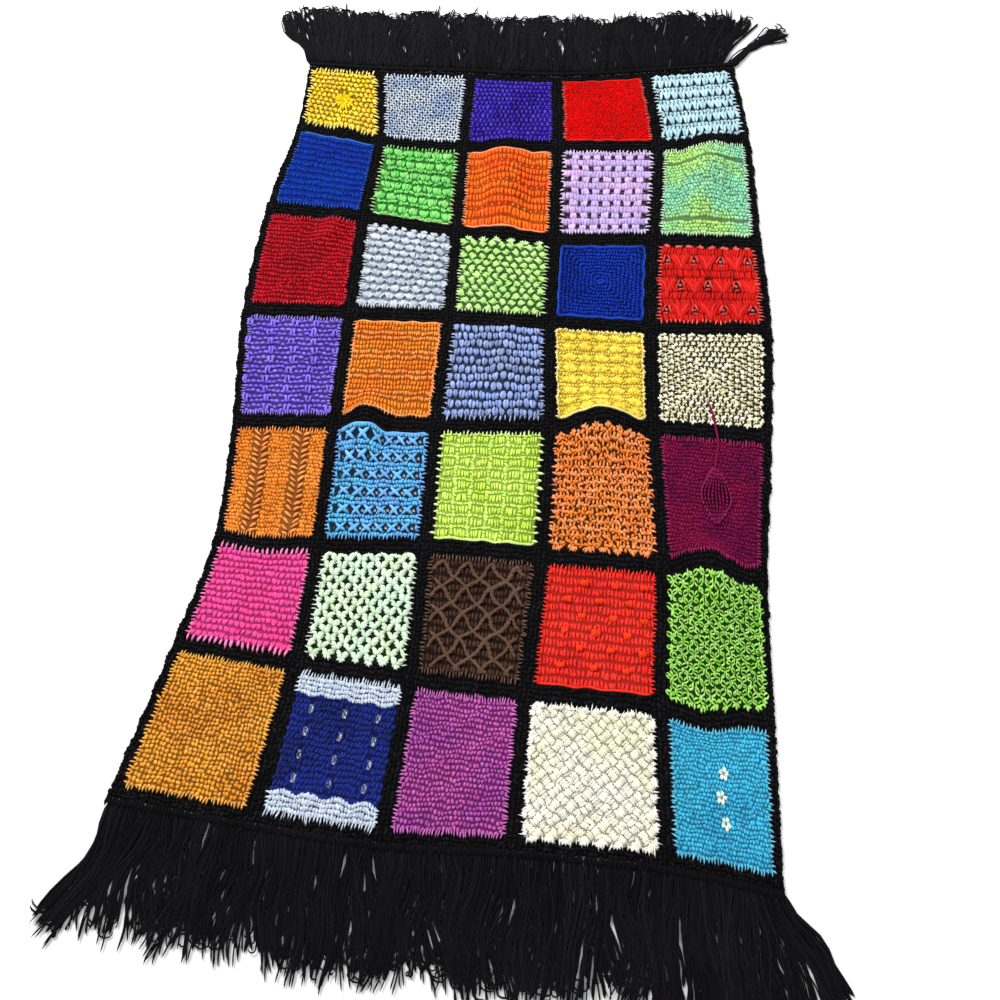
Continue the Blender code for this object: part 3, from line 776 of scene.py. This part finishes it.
def green_net(work):
    x, y, *_ = grid(9, 17, -2, 102, stagger=0.5)
    for turn, reach in ((-1.10, 6.2), (1.10, 6.2), (math.pi, 5.0)):
        far_x, far_y = x + reach * math.sin(turn), y - reach * math.cos(turn)
        for side in (-1, 1):
            work.stitch(x, y, far_x, far_y, 1.6, 6.8, 4.4, bow=0.24 * side, rings=3, sides=4,
                        jitter=1.0, blend=(0, 0.9))
    scallops(work, "head foot", 8, 5.2, 3, 2.1)
    scallops(work, "left right", 9, 5.2, 3, 2.1)


def gold_moss(work):
    x, y, i, j = grid(28, 30)
    turned = (i + j) % 2 == 0
    work.stroke(x, y, np.where(turned, 1.8, -0.6), np.where(turned, 0.8, 1.9), 2.9, 5.6,
                sides=4, jitter=0.9, blend=(0, 0.3))
    teeth(work, ALL, 34, 2.8, blend=0.4)


def navy_lenses(work):
    holes_x, holes_y, *_ = grid(3, 4, y0=16.3, y1=83.7)

    def between(x, y):
        across, along = (x[:, None] - holes_x) / 4.6, (y[:, None] - holes_y) / 5.6
        return (across ** 2 + along ** 2 > 1).all(axis=1)

    posts(work, 28, 17, 0.35, y0=13, y1=87, sides=4, keep=between)
    for x, y in zip(holes_x.reshape(4, 3), holes_y.reshape(4, 3)):
        for side in (-1, 1):
            work.stitch(x, y + 5.6, x, y - 5.6, 1.9, 5.8, bow=side * 0.36, rings=4)
            work.stroke(x, y, side * 2.2, 4, 0.9, 4.4, sides=4)
    lines = (np.arange(36) + 0.5) / 0.36
    depth = 13 + 3 * np.sin(math.pi * (lines * 0.04 % 1))
    for layer in range(4):
        near, far = depth * (layer / 4 - 0.02), depth * ((layer + 1) / 4 + 0.02)
        for lean in (1, -1):
            for edge, way in ((0, 1), (100, -1)):
                work.stitch(lines - lean, edge + way * near, lines + lean, edge + way * far,
                            2.7, 7.2, 4.4, sides=4, blend=(0.8, 1.0))
    teeth(work, "head foot", 34, 4.5, blend=1.0)
    y = np.array([3, 6, 9, 12, 88, 91, 94, 97])
    for near, far in ((3, -3.2), (97, 103.2)):
        work.stitch(near, y, far, y, 1.6, *TOOTH, blend=1.0)


def magenta_seed(work):
    x, y, _, j = grid(27, 25, stagger=0.5)
    turn = work.rng.uniform(-1.2, 1.2, len(x))
    work.stroke(x, y + 0.6 * np.sin(0.11 * x + j), 2.1 * np.sin(turn), 2.1 * np.cos(turn), 3.0,
                6.0, sides=4, blend=(0, 0.3))
    teeth(work, ALL, 36, 3.4, slant=0.15, wander=0.2, blend=0.5)


def ivory_trellis(work):
    x, y, _, j = grid(8, 18, stagger=0.5)
    clusters(work, x, y, 4.7, 3.6, 5, 2.6, 6.4, -0.8 * flip(j), low=4.0)
    scallops(work, "head foot", 8, 5.5, 5, 2.0, 0.6)
    scallops(work, "left right", 9, 5.5, 5, 2.0, 0.6)
    teeth(work, ALL, 24, 4, 1.0)


def turquoise_plain(work):
    posts(work, 29, 29, 0.5, 5.0, sides=4)
    teeth(work, ALL, 28, 3.4, blend=0.15)
    for row in range(3):
        x, y = 50 + 2 * (-1) ** row, 36 + 18 * row
        petals = 2 * np.pi * (np.arange(5) + 0.25 * row) / 5
        across, along = np.sin(petals), -np.cos(petals)
        for bow in (-0.17, 0.17):
            work.stitch(x + 0.8 * across, y + 0.8 * along, x + 5.8 * across, y + 5.8 * along,
                        1.9, 6.8, 5.0, bow=bow, rings=3, blend=1.0, jitter=0.0)


# Head end first, each row from left to right. shade is painted shade: the ground between
# the stitches takes the yarn's colour darkened to this share, for the shadow down between
# them. yarn, fleck and accent_and_highlight are sRGB in 0 to 255: the main colour, the one
# that drifts into it, and the accent: in a few squares the colour of contrasting strands, in
# the rest a paler tint painted on strands as highlight.
SQUARES = (
    # (pattern, shade, yarn, fleck, accent_and_highlight)
    ((yellow_sunburst, 0.22, (250, 214, 26), (238, 196, 20), (255, 240, 150)),
     (blue_marl_mesh, 0.07, (224, 236, 250), (166, 192, 236), (230, 236, 244)),
     (indigo_flecks, 0.20, (68, 42, 192), (50, 26, 158), (110, 84, 220)),
     (red_close_stitch, 0.40, (228, 2, 2), (216, 4, 4), (255, 120, 110)),
     (pale_blue_shells, 0.04, (178, 218, 230), (158, 204, 220), (226, 246, 250))),
    ((royal_blue_ribs, 0.34, (12, 60, 170), (20, 50, 162), (80, 140, 220)),
     (green_popcorn, 0.22, (116, 228, 106), (92, 208, 92), (226, 230, 180)),
     (orange_waves, 0.30, (255, 118, 28), (255, 98, 22), (255, 190, 150)),
     (lavender_eyelets, 0.03, (206, 172, 222), (192, 170, 226), (246, 234, 250)),
     (sea_marl_frame, 0.24, (184, 232, 134), (150, 222, 182), (220, 244, 220))),
    ((crimson_ribs, 0.28, (198, 16, 34), (174, 14, 30), (232, 60, 80)),
     (silver_shells, 0.40, (186, 196, 209), (176, 189, 204), (226, 233, 242)),
     (lime_lattice, 0.09, (200, 250, 150), (182, 238, 132), (220, 246, 190)),
     (navy_rounds, 0.30, (20, 54, 170), (16, 44, 148), (60, 100, 200)),
     (red_fans, 0.10, (216, 28, 22), (204, 20, 18), (255, 130, 120))),
    ((violet_basket, 0.20, (136, 108, 244), (116, 90, 222), (176, 160, 244)),
     (orange_boxes, 0.30, (255, 150, 44), (254, 134, 36), (255, 176, 116)),
     (blue_bobbles, 0.09, (140, 164, 222), (128, 144, 188), (186, 200, 238)),
     (yellow_scales, 0.38, (252, 224, 84), (244, 212, 68), (255, 246, 196)),
     (cream_rounds, 0.04, (242, 232, 184), (236, 226, 166), (255, 253, 244))),
    ((ochre_chevrons, 0.24, (252, 160, 62), (240, 144, 50), (255, 160, 112)),
     (sky_crosses, 0.04, (112, 184, 240), (96, 196, 236), (130, 176, 246)),
     (lime_basket, 0.40, (220, 255, 108), (206, 244, 84), (236, 252, 190)),
     (rust_stars, 0.08, (240, 128, 48), (232, 132, 40), (255, 170, 120)),
     (plum_plain, 0.30, (136, 18, 68), (112, 14, 70), (196, 66, 126))),
    ((pink_clusters, 0.34, (255, 84, 168), (252, 74, 152), (255, 160, 206)),
     (mint_moons, 0.015, (206, 240, 206), (214, 240, 192), (242, 252, 240)),
     (brown_cables, 0.16, (78, 54, 43), (70, 46, 36), (134, 106, 88)),
     (red_dots, 0.38, (250, 60, 48), (240, 50, 44), (244, 62, 26)),
     (green_net, 0.06, (142, 224, 66), (126, 210, 60), (196, 236, 140))),
    ((gold_moss, 0.26, (248, 172, 52), (232, 150, 42), (250, 200, 120)),
     (navy_lenses, 0.28, (18, 40, 140), (14, 32, 116), (216, 228, 242)),
     (magenta_seed, 0.30, (196, 80, 172), (182, 74, 176), (220, 140, 206)),
     (ivory_trellis, 0.60, (246, 242, 226), (242, 238, 210), (255, 255, 252)),
     (turquoise_plain, 0.34, (68, 196, 232), (58, 182, 224), (246, 246, 222))),
)
# The third colour of the black yarn is a painted highlight, blended into some strands at random.
BLACK_YARN = ((15, 14, 16), (10, 9, 11), (36, 34, 40))
# BLACK_SHADE and LEAF_SHADE darken the grounds under the bands' and the leaf's stitches as painted
# shade.
BLACK_SHADE = 0.5
LEAF_YARN = ((120, 16, 64), (116, 16, 70), (150, 40, 96))
LEAF_SHADE = 0.16


# ---- finishes

def linear(colour):
    """Linear light values, with alpha, of an sRGB colour given in 0 to 255."""
    shares = [channel / 255 for channel in colour]
    return [share / 12.92 if share <= 0.04045 else ((share + 0.055) / 1.055) ** 2.4
            for share in shares] + [1.0]


class Tree:
    """Adds nodes to a material; an input is given a value or another node's output."""

    def __init__(self, material):
        material.use_nodes = True
        self.tree = material.node_tree

    def fill(self, node, inputs):
        for key, value in inputs.items():
            if isinstance(value, bpy.types.NodeSocket):
                self.tree.links.new(value, node.inputs[key])
            else:
                node.inputs[key].default_value = value

    def add(self, kind, inputs, output=0, **settings):
        node = self.tree.nodes.new("ShaderNode" + kind)
        for key, value in settings.items():
            setattr(node, key, value)
        self.fill(node, inputs)
        return node.outputs[output]

    def surface(self, inputs):
        self.fill(self.tree.nodes["Principled BSDF"], inputs)

    def math(self, operation, *values):
        return self.add("Math", dict(enumerate(values)), operation=operation)

    def mix(self, share, first, second, way="MIX"):
        return self.add("Mix", {0: share, 6: first, 7: second}, 2, data_type="RGBA",
                        blend_type=way)


def yarn_finish(name, colour, fleck, accent_and_highlight, shade=1.0):
    """Plied yarn: two twisted plies with painted shade in their grooves, loose fibres, and colour
    that drifts along the work.
    """
    material = bpy.data.materials.new(name)
    tree = Tree(material)
    place = tree.add("TexCoord", {}, "Object")
    vectors = [tree.add("Attribute", {}, "Vector", attribute_name=label)
               for label in ("yarn", "dye_and_highlight")]
    along, around, tone, blend = [tree.add("SeparateXYZ", {0: vector}, axis)
                                  for vector in vectors for axis in (0, 1)]
    fibre, lint, drift = [tree.add("TexNoise", {"Scale": scale, "Detail": detail, "Vector": place})
                          for scale, detail in ((900.0, 3.0), (300.0, 2.0), (11.0, 2.0))]
    turns = tree.math("MULTIPLY_ADD", around, 2.0, tree.math("DIVIDE", along, PLY_LENGTH))
    wave = tree.math("SINE", tree.math("MULTIPLY", turns, 2 * math.pi))
    ply = tree.math("MULTIPLY_ADD", wave, 0.5, 0.5)

    drifting = tree.add("MapRange", {0: drift, 1: 0.42, 2: 0.62})
    main = tree.mix(drifting, linear(colour), linear(fleck))
    # ply darkens the colour in the grooves between the plies, painted shade; tone, fibre and lint
    # vary it at random.
    level = 0.46
    for source, strength in ((ply, 0.16), (tone, 0.11), (fibre, 0.24), (lint, 0.60)):
        level = tree.math("MULTIPLY_ADD", source, strength, level)
    # shade below one darkens the whole finish, painted shade for the grounds between stitches.
    level = tree.math("MULTIPLY", level, shade)
    grey = tree.add("CombineColor", {0: level, 1: level, 2: level})
    bumped = tree.add("Bump", {"Strength": 0.45, "Distance": 0.0007,
                               "Height": tree.math("MULTIPLY_ADD", fibre, 0.5, ply)})
    # blend mixes in accent_and_highlight: in a few yarns a second colour, in the rest a paler tint
    # painted on as highlight.
    tree.surface({
        "Base Color": tree.mix(1.0, tree.mix(blend, main, linear(accent_and_highlight)), grey, "MULTIPLY"),
        "Normal": bumped, "Roughness": 0.85, "Specular IOR Level": 0.08,
        "Sheen Weight": 0.12, "Sheen Roughness": 0.5, "Sheen Tint": linear(accent_and_highlight)})
    return material


# ---- the worked grounds

def split_lines(lines, longest=0.0095):
    """The same lines, with more of them where they stand far apart."""
    close = [lines[0]]
    for low, high in zip(lines[:-1], lines[1:]):
        parts = max(1, math.ceil((high - low) / longest))
        close.extend(low + (high - low) * (step + 1) / parts for step in range(parts))
    return np.array(close)


def ground_piece(name, u_lines, v_lines, kept, heights, material, flat_place=None):
    """A thin closed sheet over the kept cells of a grid, and its share of their area.

    kept(u, v) answers for the cells' middles; flat_place may bend the grid beforehand.
    """
    inner = kept(*np.meshgrid((u_lines[:-1] + u_lines[1:]) / 2,
                              (v_lines[:-1] + v_lines[1:]) / 2))
    cells = np.pad(inner, 1)
    areas = np.outer(np.diff(v_lines), np.diff(u_lines))
    u, v = [line.ravel() for line in np.meshgrid(u_lines, v_lines)]
    count = len(u)
    if flat_place is not None:
        u, v = flat_place(u, v)
    points = np.concatenate([lay(u, v, np.full(count, height)) for height in heights[::-1]])
    index = np.arange(count).reshape(len(v_lines), len(u_lines))
    corner = [index[:-1, :-1], index[:-1, 1:], index[1:, 1:], index[1:, :-1]]
    beside = [cells[:-2, 1:-1], cells[1:-1, 2:], cells[2:, 1:-1], cells[1:-1, :-2]]
    top = np.stack([part[inner] for part in corner], axis=-1)
    quads = [top, top[:, ::-1] + count]
    for side in range(4):
        open_side = inner & ~beside[side]
        start, end = corner[side][open_side], corner[(side + 1) % 4][open_side]
        quads.append(np.stack([end, start, start + count, end + count], axis=-1))
    used, quads = np.unique(np.concatenate(quads), return_inverse=True)
    corners = quads.ravel()
    yarn = np.tile(np.stack([u, v / 0.009, 0 * u], axis=-1), (2, 1))[used][corners]
    piece = mesh_piece(name, points[used], corners, np.full(len(corners) // 4, 4), material,
                       yarn, np.zeros((len(used), 3)))
    return piece, areas[inner].sum() / areas.sum()


def square_spans(count, inset=0.0):
    """Low and high side of the squares across or along the blanket."""
    middle = (np.arange(count) - (count - 1) / 2) * PITCH
    return np.stack([middle - SQUARE / 2 + inset, middle + SQUARE / 2 - inset], axis=-1)


def gap_spans(low, high, count, gap, margin=0.0):
    """Low and high side of evenly spaced gaps between low and high."""
    period = (high - low - 2 * margin) / count
    middle = low + margin + (np.arange(count) + 0.5) * period
    return np.stack([middle - gap / 2, middle + gap / 2], axis=-1)


def within(spans, place):
    """Index of the span that each place is in, or -1."""
    found = np.full(place.shape, -1)
    for number, (low, high) in enumerate(spans):
        found[(place > low) & (place < high)] = number
    return found


def dress(piece, slot, *nodes):
    """Puts a piece on the blanket and hides the imported solids it stands for; slot is not used.
    """
    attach(piece, "root")
    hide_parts(*nodes)
    return piece


def square_ground(name, edges, pattern, material):
    """The ground of one square, with its gaps, and its share that is left."""
    left, right, foot, head = edges
    gaps_u = gaps_v = np.zeros((0, 2))
    if pattern in OPEN_WORK:
        columns, rows, gap_width, gap_length, margin, share = OPEN_WORK[pattern]
        gaps_u = gap_spans(left, right, columns, gap_width * share)
        gaps_v = gap_spans(foot, head, rows, gap_length * share, margin)

    def kept(u, v):
        i, j = within(gaps_u, u), within(gaps_v, v)
        is_gap = (i >= 0) & (j >= 0)
        if pattern == "red_fans":
            is_gap &= (i + j) % 2 == 0
        return ~is_gap

    return ground_piece(name, split_lines([left, *gaps_u.ravel(), right]),
                        split_lines([foot, *gaps_v.ravel(), head]), kept, SQUARE_GROUND,
                        material)


def make_squares(leaf_pieces):
    """Every square. The leaf's pieces lie on the plum one; leaf_pieces is not used."""
    for row, squares in enumerate(SQUARES):
        for column, (pattern, shade, *colours) in enumerate(squares):
            name = pattern.__name__
            label = f"{row + 1}{column + 1}_{name}"
            node, slot = f"square_{label}", f"yarn_{name}"
            edges = (*square_spans(COLUMNS)[column], *square_spans(ROWS)[::-1][row])
            finish = yarn_finish(slot, *colours)
            # shaded is the finish darkened to shade: painted shade for the ground between the
            # stitches.
            shaded = yarn_finish(f"{slot}_ground", *colours, shade)
            ground, share = square_ground(f"ground_{label}", edges, name, shaded)
            work = Work(edges[0], edges[3], SQUARE, SQUARE, seed=10 * row + column)
            pattern(work)
            stitches = strand_piece(f"stitches_{label}", work.batches, finish)
            dress(ground, slot, node)
            dress(stitches, slot, node)


# ---- black bands and fringe

def band_strips():
    """The bands as flat stretches: left, right, foot, head, and which way their rows run."""
    columns, rows = square_spans(COLUMNS), square_spans(ROWS)
    for left, right in np.reshape([-HALF_WIDTH, *columns.ravel(), HALF_WIDTH], (-1, 2)):
        yield left, right, -HALF_LENGTH, HALF_LENGTH, True
    for foot, head in np.reshape([-HALF_LENGTH, *rows.ravel(), HALF_LENGTH], (-1, 2)):
        for left, right in columns:
            yield left, right, foot, head, False


def make_bands(finish, shaded):
    """The joined black work round every square, and its rows of stitches."""
    under = 0.004            # how far the bands reach under the squares
    windows_u, windows_v = square_spans(COLUMNS, under), square_spans(ROWS, under)

    def kept(u, v):
        return (within(windows_u, u) < 0) | (within(windows_v, v) < 0)

    ground, share = ground_piece(
        "bands_ground", split_lines([-HALF_WIDTH, *windows_u.ravel(), HALF_WIDTH], 0.012),
        split_lines([-HALF_LENGTH, *windows_v.ravel(), HALF_LENGTH], 0.012), kept,
        BAND_GROUND, shaded)

    batches = []
    for seed, (left, right, foot, head, lengthwise) in enumerate(band_strips()):
        work = Work(left, head, right - left, head - foot, seed)
        wide, long = (right - left, head - foot) if lengthwise else (head - foot, right - left)
        rows, count = round(wide / BAND_ROW), round(long / BAND_STITCH)
        x, y, i, _ = grid(rows, count)
        dx, dy = 40 / rows * flip(i), 62 / count     # stitches overlap along their row
        if not lengthwise:
            x, y, dx, dy = y, x, dy, dx
        # strands are paled at random toward the black yarn's third colour, a painted highlight.
        work.stroke(x, y, dx, dy, 2.9, 4.2, sides=4, jitter=1.2,
                    blend=work.rng.uniform(0, 0.7, len(x)) ** 2)
        batches += work.batches
    work = Work(-HALF_WIDTH, HALF_LENGTH, 2 * HALF_WIDTH, 2 * HALF_LENGTH, seed=60)
    for side in ("left", "right"):
        x, y, out, _ = edge_places(EDGE_LOOPS, side)
        work.stitch(x - 0.4 * out, y, x + out * work.rng.uniform(0.05, 0.28, EDGE_LOOPS),
                    y + work.rng.uniform(-0.1, 0.1, EDGE_LOOPS),
                    work.rng.uniform(3.0, 4.2, EDGE_LOOPS), 4.0)
    stitches = strand_piece("bands_stitches", batches + work.batches, finish)
    dress(ground, "black_yarn", "joining_bands")
    dress(stitches, "black_yarn", "joining_bands")


def make_fringe(name, finish):
    """Knotted tufts of loose strands on the floor, neighbours leaning alike."""
    end, reach, longer, taper, swell, bundle_from, bundle_longer, bundle_turn, hook = (
        FRINGES[name])
    rng = np.random.default_rng(7 + end)
    reach_of_lean = 6                # tufts on either side with which one leans
    near = np.exp(-(np.arange(-reach_of_lean, reach_of_lean + 1) / 2.2) ** 2)
    leans = np.array([np.convolve(rng.normal(0, 1, TUFTS + 2 * reach_of_lean), near, "valid")
                      for _ in range(5)]) / np.linalg.norm(near)
    batches = []
    for each, sides, thickness, level, shorter in FRINGE_LAYERS:
        fine = sides == 3
        tuft = np.repeat(np.arange(TUFTS), each)[:, None]
        place = np.tile((np.arange(each) + 0.5) / each - 0.5, TUFTS)[:, None]
        size = tuft.shape
        lean = leans[:, tuft]
        share = 2 * (tuft + 0.5) / TUFTS - 1
        lock = (tuft + 0.5) * LOCKS / TUFTS - 0.5
        bundle = end * share > bundle_from
        ragged = (0.05 * np.sin(2.3 * lock) + 0.04 * np.sin(0.37 * lock + 1)
                  + swell * np.exp(-((share + 0.72) / 0.16) ** 2))
        length = reach * (longer + taper * share + ragged + rng.uniform(-0.12, 0.04, size)
                          - shorter) * np.where(bundle, bundle_longer, 1)
        fan = (FAN_ANGLE * share ** 5
               + np.radians(2.5 * np.sin(0.9 * lock) + 3.6 * lean[0] * fine
                            + (2.6 if fine else 4.5) * rng.normal(0, 1, size)))
        fan = np.where(bundle, bundle_turn - 0.3 * end * (0.96 - abs(share)), fan)
        root = lay(share * (HALF_WIDTH - 0.005) + place * 0.0095,
                   np.full(size, end * (HALF_LENGTH - 0.0025)), np.full(size, 0.003))

        # s runs along a strand from its knot; the curled tips turn back over its last part
        curl_from = 0.84
        s = np.concatenate([np.linspace(0, curl_from, 8), np.linspace(0.87, 1, 6)])
        wave = (0.0060 + 0.0020 * lean[1]) * np.sin(
            2 * np.pi * s * (1.3 + 0.3 * lean[2]) + 1.5 * lean[3]) * np.clip(3 * s, 0, 1)
        wave = wave + 0.0026 * rng.normal(0, 1, size) * np.sin(11 * s + lean[4])
        stray = rng.normal(0, 0.014, size) * s if end > 0 else -0.064
        hooked = (rng.uniform(0, 1, size) < hook) & fine
        bend = (np.clip((s - curl_from) / (1 - curl_from), 0, 1)
                * rng.uniform(2.0, 4.2, size) * hooked)
        coil = rng.uniform(0.005, 0.009, size) * np.sign(rng.normal(0, 1, size))
        forward = length * np.where(hooked, np.minimum(s, 0.86), s) + abs(coil) * np.sin(bend)
        sideways = wave + stray * bundle * s ** 2 + coil * (1 - np.cos(bend))
        cos, sin = np.cos(fan), np.sin(fan)
        height = level * rng.uniform(0.8, 1.3, size) * (1 - 0.55 * s) + thickness * 0.55
        centre = np.stack([root[..., 0] + sin * forward + cos * sideways,
                           root[..., 1] + end * (cos * forward - sin * sideways),
                           np.maximum(height, thickness * FLATNESS + GAP)], axis=-1)
        thick = np.full(height.shape, thickness) * rng.uniform(0.85, 1.15, size)
        thick[:, -2] *= 0.7      # strands taper at their ends
        # the fine strands are paled at random toward the black yarn's third colour, a painted
        # highlight.
        batches.append((centre, thick, sides, rng.normal(0, 1, len(tuft)),
                        rng.uniform(0, 0.7, len(tuft)) ** 2 * fine))

    # a knot is two short strands side by side over the edge of the bands
    knots = Work(-HALF_WIDTH, end * HALF_LENGTH, 2 * HALF_WIDTH, 0.01, 90 + end)
    x = 100 * (np.arange(TUFTS) + 0.5) / TUFTS
    for side in (-0.22, 0.22):
        knots.stroke(x + side, -50 * end, side * 0.4, 80, 3.3, 8.0, 5.0, jitter=0.4)
    batches += [(lay(*np.moveaxis(batch[0], -1, 0)), *batch[1:]) for batch in knots.batches]
    piece = strand_piece(f"{name}_strands", batches, finish,
                         lambda points: np.maximum(points, (-np.inf, -np.inf, GAP)))
    return dress(piece, "black_yarn", name)


# ---- leaf and tail

def leaf_place(across, share):
    """Flat place of a point of the leaf: across is -1 to 1, share is 0 at its foot end."""
    half = LEAF_WIDTH / 2 * np.sin(np.pi * np.clip(share, 0, 1)) ** 0.95
    return LEAF_MIDDLE[0] + across * half, LEAF_MIDDLE[1] + (share - 0.5) * LEAF_LENGTH


def make_leaf(finish, shaded):
    """The leaf: a thin ground with lengthwise ribs of stitches that meet at its tips."""
    base, _ = ground_piece("leaf_ground", np.linspace(-0.92, 0.92, 9),
                           np.linspace(0.04, 0.97, 15),
                           lambda across, share: np.ones(across.shape, bool),
                           (CLOTH + 2 * GAP, CLOTH + 0.0014), shaded, leaf_place)
    work = Work(0, 0, 100, -100, seed=77)     # a stretch on which places are in metres
    stitches = 15
    share = 0.03 + 0.95 * (np.arange(stitches) + 0.5) / stitches
    half = 0.62 * 0.95 / stitches
    slant = 0.0016
    for across in np.linspace(-0.94, 0.94, LEAF_RIBS):
        x0, y0 = leaf_place(across, share - half)
        x1, y1 = leaf_place(across, share + half)
        work.stitch(x0 - slant, y0, x1 + slant, y1, 2.2, 9.8, 7.0, jitter=0.2,
                    blend=0.12 + 0.5 * (abs(across) > 0.9))
    ribs = strand_piece("leaf_ribs", work.batches, finish)
    return [dress(piece, "leaf_yarn", "leaf") for piece in (base, ribs)]


def make_tail(finish):
    """The leaf's loose yarn tail: a two-ply cord that runs up over the band."""
    table = np.pad(TAIL_ROUTE, ((1, 1), (0, 0)), "reflect", reflect_type="odd")
    steps = len(TAIL_ROUTE)
    index, weights = spline_weights(np.linspace(0, steps - 1, 90), steps)
    route = sum(table[index + k] * weights[k][:, None] for k in range(4))
    u = LEAF_MIDDLE[0] + route[:, 0]
    v = LEAF_MIDDLE[1] + LEAF_LENGTH / 2 + GAP + route[:, 1]
    centre = lay(u, v, np.full(len(u), CLOTH + GAP + TAIL_DIAMETER / 2))
    run = np.append(0, np.cumsum(np.linalg.norm(np.diff(centre, axis=0), axis=1)))
    sides = 10
    radius = np.full((1, len(u)), TAIL_DIAMETER / 2)
    verts = strand_arrays(centre[None], radius, sides, flatness=1.0)[0]
    rings = verts[1:-1].reshape(-1, sides, 3)
    turn = 2 * np.pi * (np.arange(sides) / sides - run[1:-1, None] / TAIL_TWIST)
    waist = 1 - 0.26 * np.sin(turn) ** 2      # the grooves between the plies
    middle = centre[1:-1, None]
    rings = middle + (rings - middle) * waist[..., None]
    verts = np.concatenate([verts[:1], rings.reshape(-1, 3), verts[-1:]])
    corners, ring_of, turn_of, sizes = strand_template(len(u) - 2, sides)
    yarn = np.stack([run[ring_of], turn_of / sides, 0 * ring_of], axis=-1)
    dye_and_highlight = np.tile([0.0, 0.15, 0.0], (len(verts), 1))
    tail = mesh_piece("leaf_tail_cord", verts, corners, sizes, finish, yarn, dye_and_highlight)
    dress(tail, "leaf_yarn", "leaf_tail")


# ---- camera, light and floor

def make_camera():
    lens = bpy.data.cameras.new("camera")
    lens.lens = 32.4
    lens.sensor_width = 36
    lens.clip_end = 20
    camera = new_object("camera", lens)
    camera.location = (0.169, -0.7938, 1.4888)
    camera.rotation_euler = [math.radians(angle) for angle in (22.23, 2.61, 4.14)]
    bpy.context.scene.camera = camera


def make_light(name, place, size, power):
    """A soft square lamp that points at the middle of the blanket."""
    lamp = bpy.data.lights.new(name, "AREA")
    lamp.size = size
    lamp.energy = power
    light = new_object(name, lamp)
    light.location = place
    light.rotation_euler = (-light.location).to_track_quat("-Z", "Y").to_euler()


def make_surroundings():
    """A plain pale floor under soft studio light."""
    scene = bpy.context.scene
    scene.view_settings.view_transform = "Standard"
    reach = 6.0
    mesh = bpy.data.meshes.new("floor")
    mesh.from_pydata([(-reach, -reach, 0), (reach, -reach, 0), (reach, reach, 0),
                      (-reach, reach, 0)], [], [(0, 1, 2, 3)])
    floor = new_object("floor", mesh)
    floor.location.z = -0.0002
    pale = bpy.data.materials.new("pale_floor")
    Tree(pale).surface({"Base Color": linear((250, 250, 250)), "Roughness": 0.9,
                        "Specular IOR Level": 0.1})
    mesh.materials.append(pale)

    scene.world = bpy.data.worlds.new("studio")
    scene.world.use_nodes = True
    background = scene.world.node_tree.nodes["Background"]
    background.inputs["Color"].default_value = (1, 1, 1, 1)
    background.inputs["Strength"].default_value = 0.55
    make_light("key", (-1.9, 1.9, 2.6), 1.6, 150)
    make_light("fill", (2.4, -1.2, 2.4), 2.4, 36)


# ---- the whole

make_camera()
# leaf_shaded and black_shaded are the finishes darkened to LEAF_SHADE and BLACK_SHADE: painted
# shade for the grounds between the stitches.
leaf_finish = yarn_finish("leaf_yarn", *LEAF_YARN)
leaf_shaded = yarn_finish("leaf_ground", *LEAF_YARN, LEAF_SHADE)
black_finish = yarn_finish("black_yarn", *BLACK_YARN)
black_shaded = yarn_finish("black_ground", *BLACK_YARN, BLACK_SHADE)
make_tail(leaf_finish)
make_squares(make_leaf(leaf_finish, leaf_shaded))
fringes = [make_fringe(name, black_finish) for name in FRINGES]
make_bands(black_finish, black_shaded)
make_surroundings()
